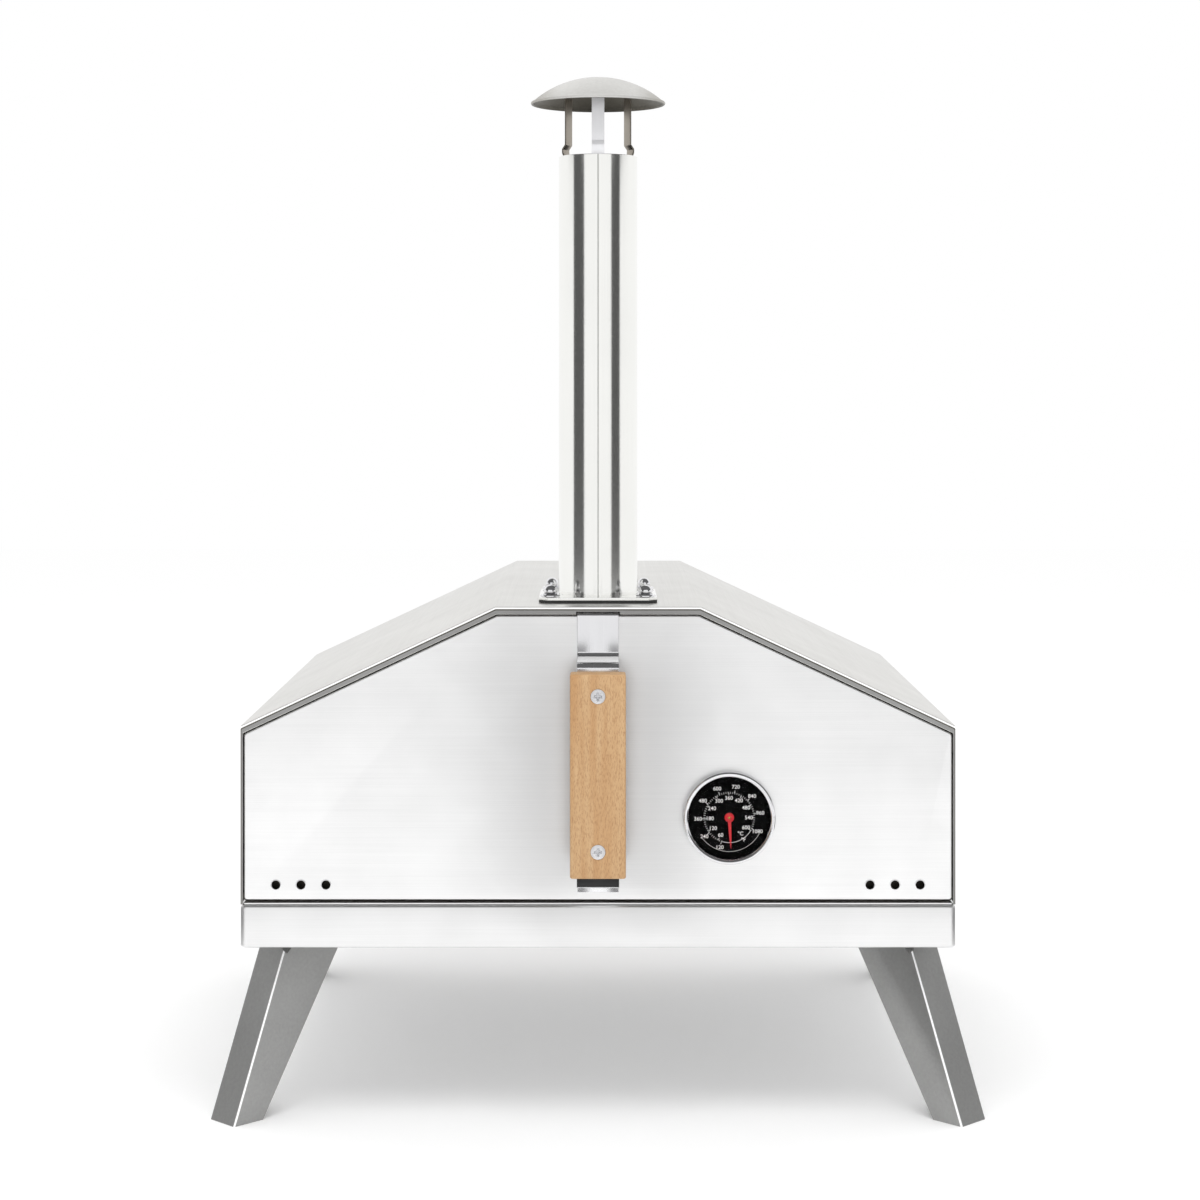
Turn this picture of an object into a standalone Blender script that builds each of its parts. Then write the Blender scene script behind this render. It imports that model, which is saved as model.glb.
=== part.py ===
"""Wood fired pizza oven on four folding legs, built from separate sheet metal pieces.

Metres, +Z up. X runs across the oven, the door looks along -Y, and the origin is on the
ground below the middle of the oven.
"""
import math

import bmesh
import bpy
from mathutils import Matrix, Vector

# Fits
GAP = 0.0003
SHEET = 0.0010

# Body
BODY_W = 0.500
BODY_D = 0.465
TRAY_UNDER = 0.123
TRAY_H = 0.030
TRAY_CORNER = 0.0040
TRAY_EDGE = 0.0025
WALL_H = 0.125
ROOF_RISE = 0.0833
ROOF_FLAT = 0.144
LIP_ROOF = 0.0055
LIP_SIDE = 0.0020
LINER_INSET = 0.024
BOARD_T = 0.012
FLOOR_T = 0.0015

# Door
DOOR_GAP = 0.0008
DOOR_LIFT = 0.0035
DOOR_DEPTH = 0.014
DOOR_RECESS = 0.0005
VENT_R = 0.0031
VENT_PITCH = 0.0175
VENT_EDGE = 0.0250
VENT_RISE = 0.0105
SILL_T = 0.0012

# Handles
STRAP_W = 0.029
STRAP_T = 0.0015
STRAP_BEND = 0.0035
HOOK_REACH = 0.004
STAND_OFF = 0.030
HANDLE_REACH = 0.050
GRIP_L = 0.1386
GRIP_W = 0.038
GRIP_EDGE = 0.003
GRIP_RISE = 0.0243
RUN_OVER = 0.0056
RUN_UNDER = 0.0108
TAB_L = 0.0085
SCREW_TOP = 0.0149
SCREW_FOOT = 0.0181
SCREW_HEAD_R = 0.0050
SCREW_HEAD_H = 0.0030
SCREW_R = 0.0020

# Thermometer
DIAL_X = 0.0915
DIAL_RISE = 0.0581
BEZEL_R = 0.0321
BEZEL_T = 0.0008
BEZEL_LAP = 0.0035
CASE_WALL = 0.0008
CASE_H = 0.0060
GLASS_T = 0.0010
DIAL_T = 0.0006
DIAL_UP = 0.0030
NEEDLE_L = 0.0215
NEEDLE_W = 0.0016
NEEDLE_T = 0.0005
NEEDLE_HUB_R = 0.0034
NEEDLE_TAIL = 0.0020
NEEDLE_TIP = 0.0086
NEEDLE_ANGLE = 183.0
PROBE_R = 0.0030
PROBE_L = 0.052
THREAD_R = 0.0048
THREAD_L = 0.012
NUT_R = 0.0080
NUT_H = 0.0050

# Oven mouth and chamber
MOUTH_SIDE = 0.060
MOUTH_ROOF = 0.045
MOUTH_SILL = 0.027
STONE_W = 0.340
STONE_SHORT = 0.165
STONE_T = 0.012
STONE_EDGE = 0.003
STONE_FRONT = 0.008
RAIL_W = 0.012
RAIL_H = 0.009
RAIL_X = 0.130
BAFFLE_W = 0.360
BAFFLE_H = 0.046
BAFFLE_FOOT = 0.012
BAFFLE_T = 0.0015
BAFFLE_GAP = 0.006

# Flue
FLUE_SET = 0.0675
FLUE_R = 0.0285
FLUE_L = 0.3451
FLUE_SLACK = 0.0005
FLANGE_EDGE = 0.008
FLANGE_T = 0.0020
FLANGE_CLIP = 0.006
GASKET_T = 0.0015
BOLT_OUT = 0.0055
BOLT_R = 0.0025
BOLT_HEAD_R = 0.0045
BOLT_HEAD_H = 0.0025
BOLT_UP = 0.0045
WASHER_R = 0.0060
WASHER_T = 0.0014
DOME_R = 0.0040
DOME_H = 0.0030
COLLAR_ROOM = 0.004

# Rain cap
CAP_R = 0.04875
CAP_RISE = 0.019
CAP_OVER = 0.0386
CAP_STRAP_W = 0.009
CAP_STRAP_T = 0.0012
CAP_STRAP_IN = 0.0013
CAP_STRAP_OUT = 0.0010
CAP_STRAP_DOWN = 0.022
CAP_STRAP_JOG = 0.0100

# Fuel drawer and hatch
DRAWER_W = 0.250
DRAWER_D = 0.112
DRAWER_H = 0.045
DRAWER_SLACK = 0.0010
FACE_W = 0.276
FACE_LAP = 0.009
FACE_T = 0.0015
AIR_R = 0.0020
AIR_PITCH = 0.026
AIR_COUNT = 4
GRATE_UP = 0.010
GRATE_T = 0.0020
GRATE_SLOTS = 7
GRATE_SLOT_W = 0.010
GRATE_SLOT_L = 0.070
HATCH_W = 0.136
HATCH_H = 0.066
HATCH_LAP = 0.008
HATCH_T = 0.0015
KNUCKLE_R = 0.0035
KNUCKLE_L = 0.040
PIN_R = 0.0015
PIN_END = 0.020
PIN_HEAD_R = 0.0028
PIN_HEAD_H = 0.0015
LEAF_H = 0.014
LEAF_T = 0.0012
KNOB_R = 0.0090
KNOB_L = 0.020
KNOB_NECK_R = 0.0035
KNOB_NECK_L = 0.006
KNOB_BELLY = 0.010
KNOB_FACE_R = 0.0063
KNOB_EDGE = 0.003
KNOB_RISE = 0.016

# Legs
LEG_W = 0.028
LEG_T = 0.0015
LEG_LEAN = math.radians(20.6)
LEG_FOOT = 0.025
LEG_WEB = 0.0405
LEG_TOP_GAP = 0.0008
PIVOT_DROP = 0.015
PIVOT_IN_FRONT = 0.0521
PIVOT_IN_REAR = 0.0476
PIVOT_IN_Y = 0.0676
PIVOT_R = 0.0030
PIVOT_HEAD_R = 0.0055
PIVOT_HEAD_H = 0.0030
BRACKET_L = 0.028
BRACKET_T = 0.0020
BRACKET_DROP = 0.009

# Roundness: sides of small, middling and large round pieces, and the angle that counts as an edge
SMALL_SIDES = 16
ROUND_SIDES = 20
HOLE_SIDES = 24
LARGE_SIDES = 40
EDGE_ANGLE = 0.6
FOLD_ANGLE = 1.2

# Levels and planes worked out from the sizes above
FRONT_Y = -BODY_D / 2
REAR_Y = BODY_D / 2
TRAY_TOP = TRAY_UNDER + TRAY_H
SHOULDER_Z = TRAY_TOP + WALL_H
ROOF_Z = SHOULDER_Z + ROOF_RISE
ROOF_ANGLE = math.atan2(ROOF_RISE, (BODY_W - ROOF_FLAT) / 2)
DOOR_Y = FRONT_Y + DOOR_RECESS
DOOR_LOW = TRAY_TOP + DOOR_LIFT
DOOR_TOP = ROOF_Z - LIP_ROOF - DOOR_GAP
FRAME_Y = DOOR_Y + DOOR_DEPTH + DOOR_GAP
CHAMBER_FRONT = FRAME_Y + SHEET + GAP
WRAP_FRONT = CHAMBER_FRONT + HOOK_REACH
BACK_Y = REAR_Y - SHEET - DOOR_RECESS
CHAMBER_REAR = BACK_Y - GAP
FLOOR_LOW = TRAY_TOP + GAP + BOARD_T + GAP
FLOOR_TOP = FLOOR_LOW + FLOOR_T
CHAMBER_LOW = FLOOR_TOP + GAP
STONE_LOW = CHAMBER_LOW + RAIL_H + GAP
STONE_D = BODY_D - STONE_SHORT
FLUE_Y = FRONT_Y + FLUE_SET
BOLT_AT = FLUE_R + BOLT_OUT
FLANGE_W = 2 * (BOLT_AT + FLANGE_EDGE)
COLLAR_W = FLANGE_W + 2 * COLLAR_ROOM
FLANGE_LOW = ROOF_Z + GAP + GASKET_T + GAP
FLANGE_TOP = FLANGE_LOW + FLANGE_T
FLUE_TOP = ROOF_Z - LINER_INSET - SHEET + FLUE_L
GRIP_LOW = DOOR_LOW + GRIP_RISE
GRIP_MID = GRIP_LOW + GRIP_L / 2
GRIP_T = HANDLE_REACH - STAND_OFF - GAP
DIAL_Z = DOOR_LOW + DIAL_RISE
DRAWER_LOW = FLOOR_TOP + DRAWER_SLACK
DRAWER_TOP = DRAWER_LOW + DRAWER_H
FACE_LOW = DRAWER_LOW - FACE_LAP
FACE_TOP = DRAWER_TOP + FACE_LAP
FACE_Y = REAR_Y + GAP
HATCH_LOW = FACE_TOP + HATCH_LAP
HATCH_TOP = HATCH_LOW + HATCH_H
HINGE_Y = FACE_Y + KNUCKLE_R
HINGE_Z = HATCH_TOP + KNUCKLE_R
PIVOT_Z = TRAY_TOP - SHEET - PIVOT_DROP

PARTS = bpy.data.collections.new("pizza_oven")
CUTTERS = bpy.data.collections.new("cutters")
LOOKS = {
    "steel": ((0.78, 0.78, 0.77), 0.30, 1.0),
    "roof_steel": ((0.70, 0.70, 0.69), 0.34, 1.0),
    "bright_steel": ((0.88, 0.88, 0.87), 0.12, 1.0),
    "leg_steel": ((0.47, 0.47, 0.46), 0.42, 1.0),
    "liner_steel": ((0.56, 0.55, 0.53), 0.40, 1.0),
    "zinc": ((0.55, 0.55, 0.56), 0.35, 1.0),
    "fibre": ((0.86, 0.84, 0.78), 0.95, 0.0),
    "gasket": ((0.10, 0.10, 0.10), 0.90, 0.0),
    "stone": ((0.78, 0.68, 0.53), 0.90, 0.0),
    "beech": ((0.70, 0.45, 0.24), 0.50, 0.0),
    "dial_black": ((0.02, 0.02, 0.02), 0.45, 0.0),
    "red": ((0.65, 0.02, 0.03), 0.40, 0.0),
    "glass": ((0.90, 0.93, 0.93), 0.05, 0.0),
    "knob_black": ((0.03, 0.03, 0.03), 0.45, 0.0),
}


def clear_scene():
    for item in list(bpy.data.objects):
        bpy.data.objects.remove(item)


def material(node, look):
    colour, rough, metal = LOOKS[look]
    paint = bpy.data.materials.new(node + "_" + look)
    paint.use_nodes = True
    shader = paint.node_tree.nodes["Principled BSDF"]
    shader.inputs["Base Color"].default_value = (*colour, 1.0)
    shader.inputs["Roughness"].default_value = rough
    shader.inputs["Metallic"].default_value = metal
    return paint


def add_piece(name, mesh, look, place=None):
    """Put a mesh in the scene as a part with its own material, or as a cutter when it has no look."""
    piece = bpy.data.objects.new(name, mesh)
    piece.matrix_world = place if place is not None else Matrix.Identity(4)
    if look is None:
        CUTTERS.objects.link(piece)
        piece.hide_render = True
        piece.display_type = "WIRE"
    else:
        PARTS.objects.link(piece)
        mesh.materials.append(material(name, look))
    return piece


def finish_mesh(name, work):
    mesh = bpy.data.meshes.new(name)
    work.to_mesh(mesh)
    work.free()
    return mesh


def box(name, look, low, high, place=None):
    """Box between two opposite corners."""
    work = bmesh.new()
    bmesh.ops.create_cube(work, size=1.0)
    size = Vector(high) - Vector(low)
    middle = (Vector(high) + Vector(low)) / 2
    bmesh.ops.scale(work, vec=size, verts=work.verts)
    bmesh.ops.translate(work, vec=middle, verts=work.verts)
    return add_piece(name, finish_mesh(name, work), look, place)


def turned(name, look, profile, sides, place, closed=False):
    """Solid turned about its own Z axis. The profile of (radius, height) runs down the outer side."""
    work = bmesh.new()
    corners = [work.verts.new((radius, 0.0, height)) for radius, height in profile]
    for first, second in zip(corners, corners[1:]):
        work.edges.new((first, second))
    if closed:
        work.edges.new((corners[-1], corners[0]))
    piece = add_piece(name, finish_mesh(name, work), look, place)
    screw = piece.modifiers.new("turn", "SCREW")
    screw.axis = "Z"
    screw.steps = sides
    screw.render_steps = sides
    screw.use_merge_vertices = True
    screw.merge_threshold = 0.00001
    screw.use_smooth_shade = True
    return piece


def plate(name, look, loops, low, high, facing="Z", place=None):
    """Flat piece between two levels on the facing axis. The first loop is its edge, the rest are holes."""
    curve = bpy.data.curves.new(name + "_outline", "CURVE")
    curve.dimensions = "2D"
    curve.fill_mode = "BOTH"
    curve.extrude = (high - low) / 2
    for loop in loops:
        spline = curve.splines.new("POLY")
        spline.points.add(len(loop) - 1)
        spline.use_cyclic_u = True
        for point, (across, up) in zip(spline.points, loop):
            point.co = (across, up, 0.0, 1.0)
    outline = bpy.data.objects.new(name + "_outline", curve)
    bpy.context.scene.collection.objects.link(outline)
    middle = (low + high) / 2
    if facing == "Z":
        outline.matrix_world = Matrix.Translation((0.0, 0.0, middle))
    else:
        outline.matrix_world = Matrix.Translation((0.0, middle, 0.0)) @ Matrix.Rotation(math.pi / 2, 4, "X")
    if place is not None:
        outline.matrix_world = place @ outline.matrix_world
    bpy.context.view_layer.update()
    drawn = outline.evaluated_get(bpy.context.evaluated_depsgraph_get())
    mesh = bpy.data.meshes.new_from_object(drawn)
    matrix = outline.matrix_world.copy()
    bpy.data.objects.remove(outline)
    work = bmesh.new()
    work.from_mesh(mesh)
    bmesh.ops.remove_doubles(work, verts=work.verts, dist=0.00001)
    work.to_mesh(mesh)
    work.free()
    mesh.materials.clear()
    return add_piece(name, mesh, look, matrix)


def sheet(name, look, path, axis, low, high, thickness, place=None):
    """Bent sheet whose middle line is a path of points across the axis, swept from low to high."""
    work = bmesh.new()
    if axis == "X":
        corners = [work.verts.new((low, first, second)) for first, second in path]
        sweep = Vector((high - low, 0.0, 0.0))
    else:
        corners = [work.verts.new((first, low, second)) for first, second in path]
        sweep = Vector((0.0, high - low, 0.0))
    edges = [work.edges.new(pair) for pair in zip(corners, corners[1:])]
    made = bmesh.ops.extrude_edge_only(work, edges=edges)
    moved = [part for part in made["geom"] if isinstance(part, bmesh.types.BMVert)]
    bmesh.ops.translate(work, vec=sweep, verts=moved)
    piece = add_piece(name, finish_mesh(name, work), look, place)
    thicken(piece, thickness, 0.0)
    return piece


def shell(name, look, rings, cap_first=False):
    """Sheet through a row of matching rings. With cap_first the rings are closed and the first is filled."""
    work = bmesh.new()
    rows = [[work.verts.new(point) for point in ring] for ring in rings]
    for near, far in zip(rows, rows[1:]):
        last = len(near) if cap_first else len(near) - 1
        for index in range(last):
            after = (index + 1) % len(near)
            work.faces.new((near[index], near[after], far[after], far[index]))
    if cap_first:
        work.faces.new(rows[0])
    bmesh.ops.recalc_face_normals(work, faces=work.faces)
    return add_piece(name, finish_mesh(name, work), look)


def thicken(piece, thickness, side):
    """Solidify a surface: side -1 is inward, 0 is both ways."""
    solid = piece.modifiers.new("thickness", "SOLIDIFY")
    solid.thickness = thickness
    solid.offset = side
    solid.use_even_offset = True
    solid.use_quality_normals = True


def round_edges(piece, width, segments, angle=EDGE_ANGLE):
    bevel = piece.modifiers.new("round", "BEVEL")
    bevel.width = width
    bevel.segments = segments
    bevel.limit_method = "ANGLE"
    bevel.angle_limit = angle


def combine(piece, other, operation):
    change = piece.modifiers.new(operation.lower(), "BOOLEAN")
    change.operation = operation
    change.solver = "EXACT"
    change.object = other


def drill(piece, name, centre, radius, length, axis, sides=HOLE_SIDES):
    """Cut a round hole along an axis through a centre point."""
    work = bmesh.new()
    bmesh.ops.create_cone(
        work, cap_ends=True, segments=sides, radius1=radius, radius2=radius, depth=length)
    turn = {"X": Matrix.Rotation(math.pi / 2, 4, "Y"), "Y": Matrix.Rotation(math.pi / 2, 4, "X")}
    place = Matrix.Translation(centre) @ turn.get(axis, Matrix.Identity(4))
    cutter = add_piece(name, finish_mesh(name, work), None, place)
    combine(piece, cutter, "DIFFERENCE")


def hang_on(axis_name, point, pieces):
    """Parent moving pieces to an empty that stands on their joint's axis."""
    axis = bpy.data.objects.new(axis_name, None)
    axis.location = point
    PARTS.objects.link(axis)
    bpy.context.view_layer.update()
    for piece in pieces:
        piece.parent = axis
        piece.matrix_parent_inverse = axis.matrix_world.inverted()


def circle(across, up, radius, sides=HOLE_SIDES):
    steps = [2 * math.pi * index / sides for index in range(sides)]
    return [(across + radius * math.cos(step), up + radius * math.sin(step)) for step in steps]


def rectangle(left, bottom, right, top):
    return [(left, bottom), (right, bottom), (right, top), (left, top)]


def rounded_rectangle(left, bottom, right, top, radius, steps=4):
    """Rectangle with round corners, counter-clockwise."""
    centres = [(right - radius, bottom + radius, -90), (right - radius, top - radius, 0),
               (left + radius, top - radius, 90), (left + radius, bottom + radius, 180)]
    points = []
    for across, up, start in centres:
        for index in range(steps + 1):
            angle = math.radians(start + 90 * index / steps)
            points.append((across + radius * math.cos(angle), up + radius * math.sin(angle)))
    return points


def bent(points, radius, steps=4):
    """Path with each inner corner replaced by an arc."""
    path = [points[0]]
    for before, corner, after in zip(points, points[1:], points[2:]):
        corner = Vector(corner)
        back = (Vector(before) - corner).normalized()
        ahead = (Vector(after) - corner).normalized()
        half = back.angle(ahead) / 2
        reach = radius / math.tan(half)
        centre = corner + (back + ahead).normalized() * radius / math.sin(half)
        start = corner + back * reach - centre
        turn = start.angle_signed(corner + ahead * reach - centre)
        for index in range(steps + 1):
            spoke = start.copy()
            spoke.rotate(Matrix.Rotation(-turn * index / steps, 2))
            path.append(tuple(centre + spoke))
    path.append(points[-1])
    return path


def house(side, roof, bottom):
    """Front outline of the body, its walls moved in by side and its roof moved in by roof."""
    half = BODY_W / 2 - side
    flat = ROOF_FLAT / 2 - roof * math.tan(ROOF_ANGLE / 2)
    shoulder = SHOULDER_Z - roof / math.cos(ROOF_ANGLE) + side * math.tan(ROOF_ANGLE)
    top = ROOF_Z - roof
    return [(-half, bottom), (-half, shoulder), (-flat, top), (flat, top), (half, shoulder), (half, bottom)]


def at_depth(outline, depth):
    return [(across, depth, up) for across, up in outline]


def base_tray():
    outline = rounded_rectangle(-BODY_W / 2, FRONT_Y, BODY_W / 2, REAR_Y, TRAY_CORNER)
    rings = [[(across, along, level) for across, along in outline] for level in (TRAY_TOP, TRAY_UNDER)]
    tray = shell("base_tray", "steel", rings, cap_first=True)
    round_edges(tray, TRAY_EDGE, 3, FOLD_ANGLE)
    thicken(tray, SHEET, -1.0)


def outer_shell():
    low = TRAY_TOP + GAP
    edge = house(0.0, 0.0, low)
    lip = house(LIP_SIDE, LIP_ROOF, low)
    rings = [at_depth(edge, REAR_Y), at_depth(edge, FRONT_Y), at_depth(lip, FRONT_Y)]
    body = shell("outer_shell", "roof_steel", rings)
    thicken(body, SHEET, -1.0)
    drill(body, "flue_hole", (0.0, FLUE_Y, ROOF_Z), FLUE_R + FLUE_SLACK, 6 * SHEET, "Z", LARGE_SIDES)
    for index, (across, along) in enumerate(bolt_places()):
        place = (across, along, ROOF_Z)
        drill(body, "bolt_hole_%d" % index, place, BOLT_R + GAP, 6 * SHEET, "Z", SMALL_SIDES)
    half = STRAP_W / 2 + DOOR_GAP
    notch_top = DOOR_TOP + GAP + STRAP_T + DOOR_GAP
    notch = box("lip_notch", None, (-half, FRONT_Y - SHEET, DOOR_TOP - SHEET),
                (half, FRONT_Y + 2 * SHEET, notch_top))
    combine(body, notch, "DIFFERENCE")


def insulation():
    half = BODY_W / 2 - SHEET - DOOR_GAP
    box("base_insulation", "fibre", (-half, CHAMBER_FRONT, TRAY_TOP + GAP),
        (half, CHAMBER_REAR, TRAY_TOP + GAP + BOARD_T))
    outer = house(SHEET + DOOR_GAP, SHEET + DOOR_GAP, CHAMBER_LOW)
    inner = house(LINER_INSET - GAP, LINER_INSET - GAP, CHAMBER_LOW)
    blanket = plate("shell_insulation", "fibre", [outer + inner[::-1]], WRAP_FRONT, CHAMBER_REAR, "Y")
    half = COLLAR_W / 2
    collar = box("collar_space", None, (-half, FLUE_Y - half, ROOF_Z - 2 * LINER_INSET),
                 (half, FLUE_Y + half, ROOF_Z + LINER_INSET))
    combine(blanket, collar, "DIFFERENCE")


def chamber():
    half = BODY_W / 2 - SHEET - DOOR_GAP
    box("chamber_floor", "liner_steel", (-half, CHAMBER_FRONT, FLOOR_LOW), (half, CHAMBER_REAR, FLOOR_TOP))
    rings = [at_depth(house(LINER_INSET, LINER_INSET, CHAMBER_LOW), depth)
             for depth in (CHAMBER_REAR, CHAMBER_FRONT)]
    liner = shell("inner_liner", "liner_steel", rings)
    thicken(liner, SHEET, -1.0)
    drill(liner, "liner_flue_hole", (0.0, FLUE_Y, ROOF_Z - LINER_INSET), FLUE_R + FLUE_SLACK,
          8 * SHEET, "Z", LARGE_SIDES)


def mouth_frame():
    inset = SHEET + GAP
    edge = house(inset, inset, TRAY_TOP + GAP)
    mouth = house(MOUTH_SIDE, MOUTH_ROOF, TRAY_TOP + MOUTH_SILL)
    half = STRAP_W / 2 + DOOR_GAP
    hook_slot = rectangle(-half, DOOR_TOP, half, DOOR_TOP + GAP + STRAP_T + DOOR_GAP)
    frame = plate("mouth_frame", "liner_steel", [edge, mouth, hook_slot], FRAME_Y, FRAME_Y + SHEET, "Y")
    half = BODY_W / 2 - LIP_SIDE - DOOR_GAP
    sill = box("frame_sill", None, (-half, DOOR_Y, TRAY_TOP + GAP),
               (half, FRAME_Y + SHEET / 2, TRAY_TOP + GAP + SILL_T))
    combine(frame, sill, "UNION")


def rear_panel():
    inset = SHEET + GAP
    edge = house(inset, inset, TRAY_TOP + GAP)
    half = DRAWER_W / 2 + DRAWER_SLACK
    drawer_way = rectangle(-half, DRAWER_LOW - DRAWER_SLACK, half, DRAWER_TOP + DRAWER_SLACK)
    half = HATCH_W / 2 - HATCH_LAP
    hatch_way = rectangle(-half, HATCH_LOW + HATCH_LAP, half, HATCH_TOP - HATCH_LAP)
    plate("rear_panel", "steel", [edge, drawer_way, hatch_way], BACK_Y, BACK_Y + SHEET, "Y")


def stone_and_rails():
    front = CHAMBER_FRONT + STONE_FRONT
    for name, side in (("stone_rail_left", -1), ("stone_rail_right", 1)):
        half = RAIL_W / 2
        top = CHAMBER_LOW + RAIL_H - SHEET / 2
        path = [(-half, CHAMBER_LOW), (-half, top), (half, top), (half, CHAMBER_LOW)]
        path = [(side * RAIL_X + across, up) for across, up in path]
        sheet(name, "liner_steel", path, "Y", front, front + STONE_D, SHEET)
    half = STONE_W / 2
    far = (half, front + STONE_D, STONE_LOW + STONE_T)
    stone = box("pizza_stone", "stone", (-half, front, STONE_LOW), far)
    round_edges(stone, STONE_EDGE, 2)
    hang_on("stone_lift_axis", (0.0, front + STONE_D / 2, STONE_LOW), [stone])
    back = front + STONE_D + BAFFLE_GAP
    path = [(back + BAFFLE_FOOT, CHAMBER_LOW + BAFFLE_T / 2), (back, CHAMBER_LOW + BAFFLE_T / 2),
            (back, CHAMBER_LOW + BAFFLE_H)]
    sheet("flame_baffle", "liner_steel", path, "X", -BAFFLE_W / 2, BAFFLE_W / 2, BAFFLE_T)


def bolt_places():
    return [(across * BOLT_AT, FLUE_Y + along * BOLT_AT) for across in (-1, 1) for along in (-1, 1)]


def flange_loops():
    half = FLANGE_W / 2
    clip = half - FLANGE_CLIP
    edge = [(-clip, -half), (clip, -half), (half, -clip), (half, clip),
            (clip, half), (-clip, half), (-half, clip), (-half, -clip)]
    edge = [(across, FLUE_Y + along) for across, along in edge]
    holes = [circle(across, along, BOLT_R + GAP, SMALL_SIDES) for across, along in bolt_places()]
    return [edge, circle(0.0, FLUE_Y, FLUE_R + GAP, LARGE_SIDES)] + holes


def flue():
    plate("flue_gasket", "gasket", flange_loops(), ROOF_Z + GAP, ROOF_Z + GAP + GASKET_T)
    plate("flue_flange", "bright_steel", flange_loops(), FLANGE_LOW, FLANGE_TOP)
    low = FLUE_TOP - FLUE_L
    ring = [(FLUE_R, FLUE_TOP), (FLUE_R, low), (FLUE_R - SHEET, low), (FLUE_R - SHEET, FLUE_TOP)]
    stand = Matrix.Translation((0.0, FLUE_Y, 0.0))
    turned("flue_pipe", "bright_steel", ring, LARGE_SIDES, stand, closed=True)
    head = ROOF_Z - SHEET - GAP
    nut = FLANGE_TOP + GAP
    tip = nut + BOLT_UP
    names = ("front_left", "rear_left", "front_right", "rear_right")
    for corner, (across, along) in zip(names, bolt_places()):
        place = Matrix.Translation((across, along, 0.0))
        screw = [(0.0, tip), (BOLT_R, tip), (BOLT_R, head), (BOLT_HEAD_R, head),
                 (BOLT_HEAD_R, head - BOLT_HEAD_H), (0.0, head - BOLT_HEAD_H)]
        turned("flange_screw_" + corner, "zinc", screw, SMALL_SIDES, place)
        crown = nut + WASHER_T + DOME_H
        dome = [(DOME_R * math.sin(math.radians(step)), crown + DOME_R * math.cos(math.radians(step)))
                for step in range(0, 91, 18)]
        skirt = [(DOME_R, nut + WASHER_T), (WASHER_R, nut + WASHER_T), (WASHER_R, nut),
                 (BOLT_R + GAP, nut), (BOLT_R + GAP, tip + GAP), (0.0, tip + GAP)]
        turned("dome_nut_" + corner, "bright_steel", [(0.0, dome[0][1])] + dome[1:] + skirt,
               ROUND_SIDES, place)


def rain_cap():
    rim = FLUE_TOP + CAP_OVER
    ball = (CAP_R ** 2 + CAP_RISE ** 2) / (2 * CAP_RISE)
    sweep = math.asin(CAP_R / ball)
    steps = 8
    outer = [(ball * math.sin(sweep * index / steps), rim - ball + CAP_RISE
              + ball * math.cos(sweep * index / steps)) for index in range(steps + 1)]
    inner = [(across, up - SHEET) for across, up in outer[::-1]]
    place = Matrix.Translation((0.0, FLUE_Y, 0.0))
    cap = turned("rain_cap", "steel", outer + inner, LARGE_SIDES, place)
    bore = FLUE_R - SHEET - GAP
    wall = math.sqrt(bore ** 2 - (CAP_STRAP_W / 2) ** 2) - CAP_STRAP_T / 2
    upper = wall - CAP_STRAP_IN
    under = rim - ball + CAP_RISE + math.sqrt(ball ** 2 - (upper + CAP_STRAP_T) ** 2)
    top = under - SHEET - 2 * GAP
    jog = CAP_STRAP_JOG / 3
    path = [(-upper, top), (-upper, FLUE_TOP + 3 * jog), (-wall - CAP_STRAP_OUT, FLUE_TOP + 2 * jog),
            (-wall, FLUE_TOP + jog), (-wall, FLUE_TOP - CAP_STRAP_DOWN)]
    pieces = [cap]
    for name, turn in (("front", 0), ("rear_right", 120), ("rear_left", 240)):
        spot = place @ Matrix.Rotation(math.radians(turn), 4, "Z")
        pieces.append(sheet("cap_strap_" + name, "steel", path, "X", -CAP_STRAP_W / 2, CAP_STRAP_W / 2,
                            CAP_STRAP_T, spot))
    hang_on("cap_pull_axis", (0.0, FLUE_Y, rim), pieces)


def door_panel():
    outline = house(LIP_SIDE + DOOR_GAP, LIP_ROOF + DOOR_GAP, DOOR_LOW)
    rings = [at_depth(outline, DOOR_Y), at_depth(outline, DOOR_Y + DOOR_DEPTH)]
    door = shell("door_panel", "steel", rings, cap_first=True)
    thicken(door, SHEET, -1.0)
    for side in (-1, 1):
        for index in range(3):
            across = side * (BODY_W / 2 - VENT_EDGE - index * VENT_PITCH)
            name = "vent_%s_%d" % ("left" if side < 0 else "right", index)
            drill(door, name, (across, DOOR_Y, DOOR_LOW + VENT_RISE), VENT_R, 6 * SHEET, "Y")
    drill(door, "thermo_hole", (DIAL_X, DOOR_Y, DIAL_Z), THREAD_R + GAP, 6 * SHEET, "Y")
    return door


def strap_path(seat, over, under, hook):
    """Middle line of a hat shaped handle strap, as (depth, height) from the middle of its grip.

    A hook continues the upper tab to a height and then turns back sharply to a depth.
    """
    tab = -seat - GAP - STRAP_T / 2
    out = -STAND_OFF + STRAP_T / 2
    top = GRIP_L / 2 + over - STRAP_T / 2
    low = -GRIP_L / 2 - under + STRAP_T / 2
    start = hook[1] if hook else top + TAB_L
    corners = [(tab, start), (tab, top), (out, top), (out, low), (tab, low), (tab, low - TAB_L)]
    path = bent(corners, STRAP_BEND)
    return [hook] + path if hook else path


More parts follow.
